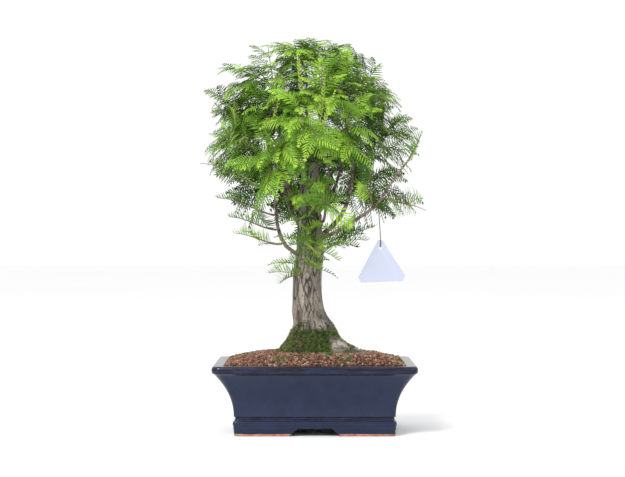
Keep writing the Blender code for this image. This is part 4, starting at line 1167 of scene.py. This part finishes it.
def wire_line():
    """Middle line of the wire: a hook over the bough, straight down, and through the tag's hole."""
    share = tag_limb_share()
    centre = limb_point("bough_far_right", share)
    along = limb_direction("bough_far_right", share)
    reach = centre.y - wire_plane()
    back = Vector((0, 1, 0))
    up = across(along, across(back, Vector((0, 0, 1))))
    points = []
    # The hook turns from 125 degrees behind the bough to 90 degrees in front of it
    for k in range(9):
        turn = math.radians(125 - 215 * k / 8)
        points.append(centre + back * reach * math.sin(turn) + up * reach * math.cos(turn))
    hole_x, hole_z = TAG_HOLE
    low = hole_z + TAG_HOLE_RADIUS - WIRE_RADIUS - 1.4 * GAP
    front = points[-1].y
    bend = (TAG_THICKNESS + 2 * WIRE_RADIUS + 2.8 * GAP) / 2
    points.append(Vector((hole_x, front, low + bend + 0.012)))
    for k in range(7):
        turn = math.radians(180 * k / 6)
        points.append(Vector((hole_x, front + bend - bend * math.cos(turn),
                              low + bend - bend * math.sin(turn))))
    points.append(points[-1] + Vector((0, 0, WIRE_TAIL)))
    return points


# %% Where a mass starts, and the line of its stem
def mass_foot(name):
    """Place on the trunk or a limb where a mass starts, and the direction that is square to it."""
    carrier, place, tip = MASSES[name][:3]
    if carrier == "trunk":
        z, degrees = place
        angle = math.radians(degrees)
        return trunk_point(angle, z), Vector((math.cos(angle), math.sin(angle), 0))
    along = limb_direction(carrier, place)
    here = limb_point(carrier, place)
    if place == 1.0:
        return here, along
    outward = across(along, Vector(tip) - here)
    return here + outward * limb_radius(carrier, place), outward


def mass_line(name):
    """The four points of the curve from a mass's root to its furthest needle."""
    tip, lift = MASSES[name][2:4]
    foot, outward = mass_foot(name)
    tip = Vector(tip)
    span = (tip - foot).length
    ahead = (tip - foot).normalized()
    up = Vector((0, 0, 1))
    rise = (ahead + up * lift).normalized()
    fall = (ahead - up * lift).normalized()
    start = (outward * 1.4 + rise).normalized()
    lean = math.sqrt(max(1 - start.dot(outward) ** 2, 0))
    root = foot + outward * (GAP + STEM_RADIUS * lean)
    return root, root + start * span * 0.30, tip - fall * span * 0.34, tip


# %% What a shoot keeps clear of
WIDEST_LIMB = max(start for _, start, _ in LIMBS.values())


def lookup(rows):
    """Search tree of rows that start with a point, together with the rows."""
    tree = kdtree.KDTree(len(rows))
    for k, row in enumerate(rows):
        tree.insert(row[0], k)
    tree.balance()
    return tree, rows


def crown_map():
    """What a spray has to look out for: places of all masses, and wood with its radius.

    A mass's own space is what lies nearest to its own places.
    """
    sites, wood = [], []
    for name in MASSES:
        line = mass_line(name)
        sites += [(bezier(line, share), name) for share in SITE_SHARES]
        wood += [(bezier(line, STEM_SHARE * k / 30), name, STEM_RADIUS) for k in range(31)]
    for name in LIMBS:
        wood += [(limb_point(name, k / 60), name, limb_radius(name, k / 60)) for k in range(61)]
    wood += [(point, "wire", WIRE_RADIUS) for point in wire_line()]
    return lookup(sites), lookup(wood)


def in_crown(point):
    """Is the point inside the crown's outline, which is an oval at each height?"""
    rows = [(z, Vector((left, right, 0))) for z, left, right in CROWN_OUTLINE]
    if not rows[0][0] < point.z < rows[-1][0]:
        return False
    left, right = smooth_value(rows, point.z).xy
    depth = min(CROWN_DEPTH, 0.85 * (left + right) / 2)
    return (point.x / (left if point.x < 0 else right)) ** 2 + (point.y / depth) ** 2 < 1


def in_own_space(point, name, sites):
    """Is the point nearer to its own mass's places than to any other mass's?"""
    tree, rows = sites
    own, other = None, None
    for _, k, distance in tree.find_n(point, len(SITE_SHARES) + 1):
        if rows[k][1] == name:
            own = distance if own is None else own
        elif other is None:
            other = distance
    return own is not None and own + 2 * CELL_MARGIN < other


def is_clear(point, name, wood):
    """Is the point clear of trunk, limbs, other masses' stems, wire and tag?"""
    tree, rows = wood
    for _, k, distance in tree.find_range(point, WIDEST_LIMB + LIMB_MARGIN):
        if rows[k][1] != name and distance < rows[k][2] + LIMB_MARGIN:
            return False
    if point.z < TRUNK_TOP + 0.004:
        offset = point - trunk_middle(point.z)
        angle = math.atan2(offset.y, offset.x)
        if math.hypot(offset.x, offset.y) < trunk_radius(angle, point.z) + LIMB_MARGIN:
            return False
    hole_x, hole_z = TAG_HOLE
    beside_tag = abs(point.x - hole_x) < TAG_HALF_WIDTH + 0.006 and abs(point.y - wire_plane()) < 0.006
    return not (beside_tag and point.z < hole_z + TAG_ABOVE_HOLE + 0.003)


# %% The plane of a spray
def blade_side(line, share):
    """Middle, direction, normal and side of a spray at a share of its length.

    The normal turns away from the crown's middle and up, as the spray's halfway point sees them.
    """
    step = 0.03
    halfway = bezier(line, 0.5)
    main = (bezier(line, 0.75) - bezier(line, 0.25)).normalized()
    guide = (halfway - Vector(CROWN_MIDDLE)).normalized() + Vector((0, 0, 0.6))
    if abs(guide.normalized().dot(main)) > 0.97:
        guide = Vector((0, 0, 1)) if abs(main.z) < 0.8 else Vector((0, -1, 0))
    guide = across(main, guide)
    here = bezier(line, share)
    along = (bezier(line, min(share + step, 1)) - bezier(line, max(share - step, 0))).normalized()
    normal = across(along, guide)
    return here, along, normal, along.cross(normal)


def needle_reach(share, length, kind):
    """How far the needles stand out from the middle of a spray at a share of its length."""
    widest = min(KINDS[kind][1], length * 0.30)
    return widest * (0.62 + 0.38 * math.sin(math.pi * min(share * 1.15, 1.0))) * (1 - 0.45 * share ** 3)


# %% Shoots that fit
def shoot_fits(line, length, name, crown, earlier):
    """Would a spray along the line stay in its space and clear of the sprays before it?"""
    sites, wood = crown
    kind = MASSES[name][5]
    for share in (0.35, 0.55, 0.78, 1.0):
        here, _, normal, side = blade_side(line, share)
        reach = needle_reach(share, length, kind)
        for offset in (-reach, 0.0, reach):
            point = here + side * offset - normal * abs(offset) * TOOTH_FALL
            if not (in_crown(point) and in_own_space(point, name, sites) and is_clear(point, name, wood)):
                return False
            if any((point - other).length < SHOOT_SPACING for other in earlier):
                return False
    return True


def shoot_samples(line, length, kind):
    """Points of a spray that later sprays of the same mass keep clear of."""
    points = []
    for k in range(3, 11):
        here, _, normal, side = blade_side(line, k / 10)
        reach = needle_reach(k / 10, length, kind)
        for share in (-1.0, -0.5, 0.0, 0.5, 1.0):
            points.append(here + side * share * reach - normal * abs(share) * reach * TOOTH_FALL)
    return points


def shoot_lines(here, headings, wanted):
    """Lines to try for one shoot, the longest first: straight out, then bending down."""
    for share in SHOOT_LENGTHS:
        reach = wanted * share
        drop = Vector((0, 0, -SHOOT_DROOP * reach))
        for heading in headings:
            yield reach, (here, here + heading * reach * 0.34, here + heading * reach * 0.70,
                          here + heading * reach + drop)


def grow(name, crown):
    """Side shoots of a mass: pairs along the stem, each shoot as long as its space lets it be."""
    pairs, kind = MASSES[name][4:6]
    length, _, steep, turn = KINDS[kind]
    rng = random.Random(f"{SEED} {name}")
    stem = mass_line(name)
    total = (stem[3] - stem[0]).length
    earlier = shoot_samples(sub_line(stem, STEM_SHARE, 1.0), total * (1 - STEM_SHARE), kind)
    shoots = []
    for pair in range(pairs + 1):
        here, along, normal, side = blade_side(stem, 0.20 + (STEM_SHARE - 0.22) * pair / max(pairs, 1))
        for hand in (-1, 1):
            headings = []
            for _ in range(SHOOT_HEADINGS):
                angle = math.radians(steep + rng.uniform(-SHOOT_WANDER, SHOOT_WANDER))
                roll = math.radians(turn * pair + rng.uniform(-SHOOT_ROLL, SHOOT_ROLL))
                lean = (side * math.cos(roll) + normal * math.sin(roll)) * hand
                headings.append(along * math.cos(angle) + lean * math.sin(angle))
            wanted = length * rng.uniform(0.92, 1.10)
            for reach, line in shoot_lines(here, headings, wanted):
                if shoot_fits(line, reach, name, crown, earlier):
                    shoots.append((line, reach))
                    earlier += shoot_samples(line, reach, kind)
                    break
    return shoots


# %% Part of a curve
def sub_line(line, start, end):
    """The stretch of a cubic curve between two shares, as a cubic curve of its own."""
    def slope(t):
        step = 0.001
        before, after = max(t - step, 0.0), min(t + step, 1.0)
        return (bezier(line, after) - bezier(line, before)) * (1.0 / (after - before))

    span = (end - start) / 3
    first, last = bezier(line, start), bezier(line, end)
    return first, first + slope(start) * span, last - slope(end) * span, last


# %% [markdown]
# ## Foliage: sprays of needles
#
# A dawn redwood bears flat soft needles in opposite rows along thin green twigs, so a spray looks like
# a feather. Its twig arches and its needles bend down from it like a shallow roof. Flat cards with a
# see-through picture are quicker, but close up they show. So one needle is a small folded blade of ten
# points. A spray lays pairs of them along its twig, longest in the middle. An open shoot is one spray.
# A full shoot carries pairs of smaller sprays and one at its end.

# %% One spray of needles
NEEDLE_WIDTH = 0.0018
NEEDLE_FOLD = 0.18
NEEDLE_STEP = 0.0038
# Places along a needle where it has a ridge and two edges, and its width there; its tip is a point
NEEDLE_STATIONS = ((0.0, 0.30), (0.32, 1.0), (0.74, 0.82))
NEEDLE_LONGEST = 0.0220
TWIG_RADIUS = (0.00065, 0.00035)
# Room that needles leave to the faces of the CAD model's box
BOX_MARGIN = 0.0006
NEEDLE_FACES = [(0, 1, 4, 3), (1, 2, 5, 4), (3, 4, 7, 6), (4, 5, 8, 7), (6, 7, 9), (7, 8, 9)]


def needle_profile(share):
    """Length of the needles along a spray, as a share of the longest."""
    return (0.55 + 0.45 * math.sin(math.pi * min(0.12 + share * 1.05, 1.0))) * (1 - 0.38 * share ** 4)


def spray_needles(line, length, longest, rng, droop=0.30, steep=(66, 38), first=0.07, step=NEEDLE_STEP):
    """Vertices of all needles of a spray, ten rows a needle, in the order of NEEDLE_FACES."""
    count = max(4, int(length * (1 - first) / step))
    blocks = []
    for k in range(count + 1):
        share = first + (0.985 - first) * k / count
        here, along, normal, side = blade_side(line, share)
        angle = steep[0] + (steep[1] - steep[0]) * share
        for hand in (-1, 1):
            turn = math.radians(angle + rng.uniform(-7, 7))
            out = along * math.cos(turn) + side * hand * math.sin(turn)
            out = (out + normal * rng.uniform(-0.16, 0.12)).normalized()
            size = longest * needle_profile(share) * rng.uniform(0.86, 1.08)
            blocks.append(needle_points(here, out, normal, size, droop * rng.uniform(0.6, 1.3)))
    here, along, normal, _ = blade_side(line, 0.97)
    blocks.append(needle_points(here, along, normal, longest * 0.45, droop * 0.5))
    return np.concatenate(blocks)


def needle_points(root, out, normal, length, droop):
    """Ten points of one folded needle that bends down from its spray's plane."""
    sideways = out.cross(normal).normalized()
    rows = []
    for share, wide in NEEDLE_STATIONS:
        middle = root + out * length * share - normal * length * droop * share ** 2
        half = sideways * wide * NEEDLE_WIDTH / 2
        fold = normal * wide * NEEDLE_WIDTH * NEEDLE_FOLD
        rows += [middle - half - fold, middle, middle + half - fold]
    rows.append(root + out * length - normal * length * droop)
    return np.array(rows)


def inside_box(points):
    """Do all points stay inside the CAD model's box?"""
    low = np.array(cad_low) + BOX_MARGIN
    high = np.array(cad_high) - BOX_MARGIN
    return bool((points > low).all() and (points < high).all())


# %% Greens of the needles, dealt out by spray: painted light and painted shade
# The lime and bright greens are painted light, leaf lies between, deep and shade are painted shade;
# bronze and young are the needles' own colours
GREENS = {
    "lime": (0.270, 0.460, 0.040), "bright": (0.170, 0.340, 0.024), "leaf": (0.090, 0.210, 0.014),
    "deep": (0.034, 0.098, 0.008), "shade": (0.010, 0.038, 0.004), "bronze": (0.100, 0.140, 0.020),
    "young": (0.280, 0.380, 0.050),
}


# How far the crown spreads from its middle, for the score that paints light and shade by picking a green
GREEN_SPREAD = (0.17, 0.14, 0.16)
# Beyond this far to a side, and below this height, sprays are older: none is lime, some are bronze
SIDE_FROM = 0.105
SIDE_BELOW = 0.56
BRONZE_SHARE = 0.26
# Lowest score of each green
GREEN_SCORES = (("lime", 0.72), ("bright", 0.46), ("leaf", 0.20), ("deep", -0.06))


def needle_finish(name):
    """Plain green of one batch of sprays: soft, thin and slightly waxy."""
    finish, tree, shader, place = new_finish("needles_" + name, Roughness=0.50,
                                             Specular_IOR_Level=0.18)
    shader.inputs["Base Color"].default_value = (*GREENS[name], 1)
    bumps = use_group(tree, GRIT, place, Scale=700.0, Strength=0.12, Distance=0.0003)
    tree.links.new(bumps.outputs["Normal"], shader.inputs["Normal"])
    return finish


def pick_green(middle, rng):
    """Green of a spray by its place: painted light in front and on top, painted shade inside, bronze at
    the far sides.
    """
    wide, deep, high = GREEN_SPREAD
    off = middle.x - CROWN_MIDDLE[0]
    reach = Vector((off / wide, middle.y / deep, (middle.z - 0.45) / high)).length
    # Painted light: the score rises away from the crown's middle, to the front and with height; the
    # random part is the needles' own varying tone
    score = 0.46 * reach - 0.30 * middle.y / deep + 0.22 * (middle.z - 0.42) / 0.19
    score += rng.uniform(-0.40, 0.40)
    far = abs(off) > SIDE_FROM and middle.z < SIDE_BELOW
    if far and rng.random() < BRONZE_SHARE:
        return "bronze"
    for name, lowest in GREEN_SCORES:
        if score > lowest and not (far and name == "lime"):
            return name
    return "shade"


# %% Numbers of the sprays
# Smaller sprays along a full shoot and along a full mass's stem: place, and angle in degrees
SUB_SPRAYS = ((0.16, 56), (0.38, 52), (0.60, 46), (0.80, 40))
SUB_LENGTH = 0.050
STEM_SPRAYS = ((0.42, 58), (0.58, 50), (0.72, 46), (0.84, 40))
STEM_SPRAY_LENGTH = 0.052
# Where needles start along a mass's own stem
LEADING_START = {"open": 0.26, "full": 0.55}
# How far needles hang below their spray's plane, as a share of their length
NEEDLE_DROOP = {"open": 0.75, "full": 0.38}
# Longest needle of a young shoot
YOUNG_NEEDLE = 0.0085
# Arches in front of the trunk: height and compass direction on the trunk, and the tip's place
FRONT_ARCHES = (
    ((0.2470, -100), (0.0060, -0.066, 0.2560)), ((0.2530, -130), (-0.0560, -0.052, 0.2560)),
    ((0.2620, -95), (0.0010, -0.080, 0.2660)), ((0.2800, -100), (0.0080, -0.078, 0.2860)),
    ((0.2880, -130), (-0.0500, -0.060, 0.2940)), ((0.3050, -80), (0.0300, -0.072, 0.3060)),
    ((0.3200, -118), (-0.0330, -0.070, 0.3220)), ((0.3380, -84), (0.0250, -0.082, 0.3400)),
    ((0.3560, -112), (-0.0300, -0.084, 0.3560)), ((0.3740, -90), (0.0100, -0.090, 0.3740)),
    ((0.3900, -120), (-0.0340, -0.080, 0.3960)), ((0.2700, -50), (0.0560, -0.052, 0.2900)),
    ((0.4020, -80), (0.0300, -0.080, 0.4120)), ((0.4100, -100), (-0.0140, -0.090, 0.4260)),
    ((0.2430, -60), (0.0220, -0.062, 0.2480)), ((0.3000, -105), (-0.0100, -0.086, 0.3080)),
)
# Pale young shoots: root and tip
YOUNG_SHOOTS = (
    ((0.0060, -0.085, 0.4700), (0.0160, -0.105, 0.5440)),
    ((0.0080, -0.100, 0.4560), (0.0300, -0.112, 0.5200)),
    ((-0.0640, -0.080, 0.4800), (-0.0450, -0.090, 0.5360)),
    ((-0.0200, -0.070, 0.5200), (-0.0260, -0.080, 0.5840)),
)


# %% The crown's sprays
def twig_radii(count, thick):
    """Radii of a twig that tapers evenly."""
    return [thick + (TWIG_RADIUS[1] - thick) * k / (count - 1) for k in range(count)]


class Crown:
    """All sprays of the crown, batch by batch of one green, and their twigs."""

    def __init__(self):
        self.batches = {name: Heap() for name in GREENS}
        self.twigs = Heap()
        self.green_twigs = Heap()
        self.map = crown_map()
        self.sprays = 0

    def twig(self, line, thick, end=1.0, count=6, sides=4, green=False):
        """A thin twig along the first stretch of a line: brown wood, or this year's green growth."""
        points = [bezier(line, end * k / (count - 1)) for k in range(count)]
        heap = self.green_twigs if green else self.twigs
        heap.add(*ribbon_tube(points, twig_radii(count, thick), sides))

    def spray(self, line, length, longest, rng, green=None, leads=False, **shape):
        """One spray of needles on its twig, unless it would leave the crown or touch wood.

        The spray that leads a mass may reach the crown's outline, because its tip is on it.
        """
        for share in (0.5, 0.8, 1.0):
            point = bezier(line, share)
            if not leads and not (is_clear(point, None, self.map[1]) and in_crown(point)):
                return False
        points = spray_needles(line, length, longest, rng, **shape)
        if not inside_box(points):
            return False
        batch = self.batches[green or pick_green(bezier(line, 0.6), rng)]
        faces = [tuple(corner + 10 * k for corner in face) for k in range(len(points) // 10)
                 for face in NEEDLE_FACES]
        batch.add(points, faces)
        self.twig(line, TWIG_RADIUS[0], end=0.99, sides=3, green=True)
        self.sprays += 1
        return True

    def side_sprays(self, line, rng, places=SUB_SPRAYS, length=SUB_LENGTH):
        """Pairs of smaller sprays along a shoot."""
        for share, steep in places:
            here, along, normal, side = blade_side(line, share)
            for hand in (-1, 1):
                angle = math.radians(steep + rng.uniform(-12, 12))
                roll = math.radians(rng.uniform(-35, 35))
                lean = side * hand * math.cos(roll) + normal * math.sin(roll)
                heading = along * math.cos(angle) + lean * math.sin(angle)
                size = length * (1.0 - 0.30 * share) * rng.uniform(0.85, 1.20)
                for shorter in (1.0, 0.78, 0.60):
                    span = size * shorter
                    drop = Vector((0, 0, -0.20 * span))
                    arch = (here, here + heading * span * 0.34, here + heading * span * 0.70,
                            here + heading * span + drop)
                    if self.spray(arch, span, min(NEEDLE_LONGEST, span * 0.36), rng):
                        break

    def mass(self, name):
        """One mass: its stem, the spray at the stem's end, and its side shoots."""
        rng = random.Random(f"needles {name}")
        kind = MASSES[name][5]
        stem = mass_line(name)
        self.twig(stem, STEM_RADIUS, end=0.97, count=12, sides=6)
        total = (stem[3] - stem[0]).length
        start = LEADING_START[kind]
        end = sub_line(stem, start, 0.985)
        self.spray(end, total * (1 - start), NEEDLE_LONGEST, rng, leads=True, droop=NEEDLE_DROOP[kind])
        if kind == "full":
            self.side_sprays(stem, rng, STEM_SPRAYS, STEM_SPRAY_LENGTH)
        for line, reach in grow(name, self.map):
            if kind == "open":
                self.twig(line, TWIG_RADIUS[0] * 1.4, end=0.4)
                self.spray(line, reach, NEEDLE_LONGEST, rng, droop=NEEDLE_DROOP[kind])
            else:
                self.twig(line, TWIG_RADIUS[0] * 1.6)
                self.spray(sub_line(line, 0.30, 1.0), reach * 0.70, NEEDLE_LONGEST, rng)
                self.side_sprays(line, rng)


# %% Grow every spray
def straight_arch(start, tip, rise):
    """A line from start to tip that arches by a share of its length."""
    start, tip = Vector(start), Vector(tip)
    up = Vector((0, 0, (tip - start).length * rise))
    return start, start.lerp(tip, 0.33) + up, start.lerp(tip, 0.70) + up, tip


def grow_crown():
    """All masses, the arches in front of the trunk in the lime of painted light, and the pale young
    shoots.
    """
    crown = Crown()
    for name in MASSES:
        crown.mass(name)
    rng = random.Random("front")
    # An arch starts just inside the bark
    for (z, degrees), tip in FRONT_ARCHES:
        line = straight_arch(trunk_point(math.radians(degrees), z, -0.0006), tip, 0.22)
        length = (line[3] - line[0]).length
        crown.twig(line, TWIG_RADIUS[0] * 1.5, end=0.5)
        # The arches in front of the trunk take the lime green: painted light
        crown.spray(sub_line(line, 0.30, 1.0), length * 0.70, NEEDLE_LONGEST * 0.9, rng,
                    "lime", droop=0.42)
        crown.side_sprays(line, rng, ((0.35, 48),), 0.040)
    for root, tip in YOUNG_SHOOTS:
        line = straight_arch(root, tip, 0.04)
        length = (line[3] - line[0]).length
        crown.spray(line, length, YOUNG_NEEDLE, rng, "young", droop=0.05, steep=(36, 20), step=0.0052)
    for name, heap in crown.batches.items():
        if heap.vertices:
            dress(heap.piece("needles_" + name, needle_finish(name), smooth=True), "needles")
    twig_bark = mottled_finish("twig_bark", (0.090, 0.060, 0.035), (0.200, 0.190, 0.080), 120.0, 0.7,
                               (900.0, 0.4, 0.0003), Roughness=0.7)
    green_bark = mottled_finish("twig_green", (0.100, 0.170, 0.030), (0.220, 0.330, 0.070), 120.0, 0.6,
                                (900.0, 0.3, 0.0003), Roughness=0.6)
    dress(crown.green_twigs.piece("twigs_green", green_bark, smooth=True), "needles")
    dress(crown.twigs.piece("twigs", twig_bark, smooth=True), "limb_bark", *MASSES)
    print(crown.sprays, "sprays in all")


grow_crown()

# %% [markdown]
# ## Hang tag
#
# The tag is a three-cornered card of pale lilac plastic on a bent dark wire. It is left blank. It could
# be a cube cut to shape, but a filled circle primitive of six corners is moved to its outline in one
# step. It is then extruded to its thickness, holed, and bevelled all round, so that its edges catch
# the light. The CAD wire is round already and only gets its finish.

# %% Hang tag and wire
TAG_BEVEL = 0.00022
TAG_SHARP = 30


def make_tag():
    """The blank card, and the finish of its wire."""
    tag = primitive(bpy.ops.mesh.primitive_circle_add, vertices=6, radius=1, fill_type="NGON")
    tag.name = tag.data.name = "tag_card"
    half, low = TAG_HALF_WIDTH, -TAG_BELOW_HOLE
    corner_x = half - TAG_CORNER_RUN
    outline = [(TAG_APEX_HALF, TAG_ABOVE_HOLE), (-TAG_APEX_HALF, TAG_ABOVE_HOLE),
               (-half, low + TAG_CORNER_RISE), (-corner_x, low), (corner_x, low),
               (half, low + TAG_CORNER_RISE)]
    around = 6.2832
    order = sorted(tag.data.vertices, key=lambda v: (math.atan2(v.co.y, v.co.x) + around) % around)
    for vertex, (x, z) in zip(order, outline):
        vertex.co = (x, -TAG_THICKNESS / 2, z)
    bpy.ops.object.mode_set(mode="EDIT")
    bpy.ops.mesh.select_all(action="SELECT")
    bpy.ops.mesh.extrude_region_move(TRANSFORM_OT_translate={"value": (0, TAG_THICKNESS, 0)})
    bpy.ops.object.mode_set(mode="OBJECT")
    shade(tag, TAG_SHARP)
    carve(tag, [primitive(bpy.ops.mesh.primitive_cylinder_add, vertices=40, radius=TAG_HOLE_RADIUS,
                          depth=0.02, rotation=(math.pi / 2, 0, 0))])
    step = tag.modifiers.new("bevel", "BEVEL")
    step.width, step.segments = TAG_BEVEL, 2
    bpy.ops.object.modifier_apply(modifier=step.name)
    hole_x, hole_z = TAG_HOLE
    middle_y = wire_plane() + WIRE_RADIUS + 1.4 * GAP + TAG_THICKNESS / 2
    tilt = math.radians(TAG_TILT)
    for vertex in tag.data.vertices:
        x, y, z = vertex.co
        vertex.co = (hole_x + x * math.cos(tilt) - z * math.sin(tilt), middle_y + y,
                     hole_z + x * math.sin(tilt) + z * math.cos(tilt))
    refinish(tag, mottled_finish("tag_card", (0.390, 0.420, 0.520), (0.420, 0.450, 0.560), 30.0, 0.3,
                                 (900.0, 0.08, 0.0002), Roughness=0.32))
    shade(tag, TAG_SHARP)
    dress(tag, "tag", "tag")
    refinish(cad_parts["tag_wire"],
             mottled_finish("tag_wire", (0.010, 0.009, 0.008), (0.060, 0.052, 0.045), 300.0, 0.6,
                            (900.0, 0.3, 0.0002), Roughness=0.42, Metallic=0.7))


make_tag()

# %% [markdown]
# ## Floor, light and camera
#
# The photograph is a product shot on white. Many lights could even it out, but a white sky already
# does. A pale floor, that sky, one soft light from the front left and a faint one from the right give
# the same open shadows. The camera is level, as high as the middle of the plant, and looks along +Y.

# %% Floor, light and camera
CAMERA_AT = (-0.0034, -2.5, 0.300)
CAMERA_LENS = 92.0
# Lights: name, place, size in metres and power in watts
LIGHTS = (("key", (-1.3, -2.2, 2.1), 1.2, 84), ("fill", (1.9, -1.5, 1.2), 1.8, 8))
LIGHT_AIM = (0, 0, 0.35)


def make_stage():
    """A wide pale floor, the sky, two soft lights and the photograph's camera."""
    floor = primitive(bpy.ops.mesh.primitive_plane_add, size=30, location=(0, 0, -0.0002))
    floor.name = "floor"
    refinish(floor, mottled_finish("floor", (0.955, 0.955, 0.96), (0.975, 0.975, 0.98), 1.0, 0.3,
                                   (3.0, 0.02, 0.001), Roughness=0.85))
    world = bpy.data.worlds.new("sky")
    world.use_nodes = True
    world.node_tree.nodes["Background"].inputs["Color"].default_value = (1, 1, 1, 1)
    world.node_tree.nodes["Background"].inputs["Strength"].default_value = 1.0
    bpy.context.scene.world = world
    for name, place, size, power in LIGHTS:
        lamp = bpy.data.lights.new(name, "AREA")
        lamp.energy, lamp.size = power, size
        light = bpy.data.objects.new(name, lamp)
        light.location = place
        aim = Vector(LIGHT_AIM) - Vector(place)
        light.rotation_euler = aim.to_track_quat("-Z", "Y").to_euler()
        bpy.context.scene.collection.objects.link(light)
    lens = bpy.data.cameras.new("camera")
    lens.lens, lens.sensor_width, lens.clip_end = CAMERA_LENS, 36.0, 60.0
    camera = bpy.data.objects.new("camera", lens)
    camera.location = CAMERA_AT
    camera.rotation_euler = (math.pi / 2, 0, 0)
    bpy.context.scene.collection.objects.link(camera)
    bpy.context.scene.camera = camera


make_stage()

# %% [markdown]
# ## Last step
#
# The scene is brought up to date once more. The box of the dressed plant has to stay inside the box
# of the CAD model.

# %% Bring the scene up to date
bpy.context.view_layer.update()
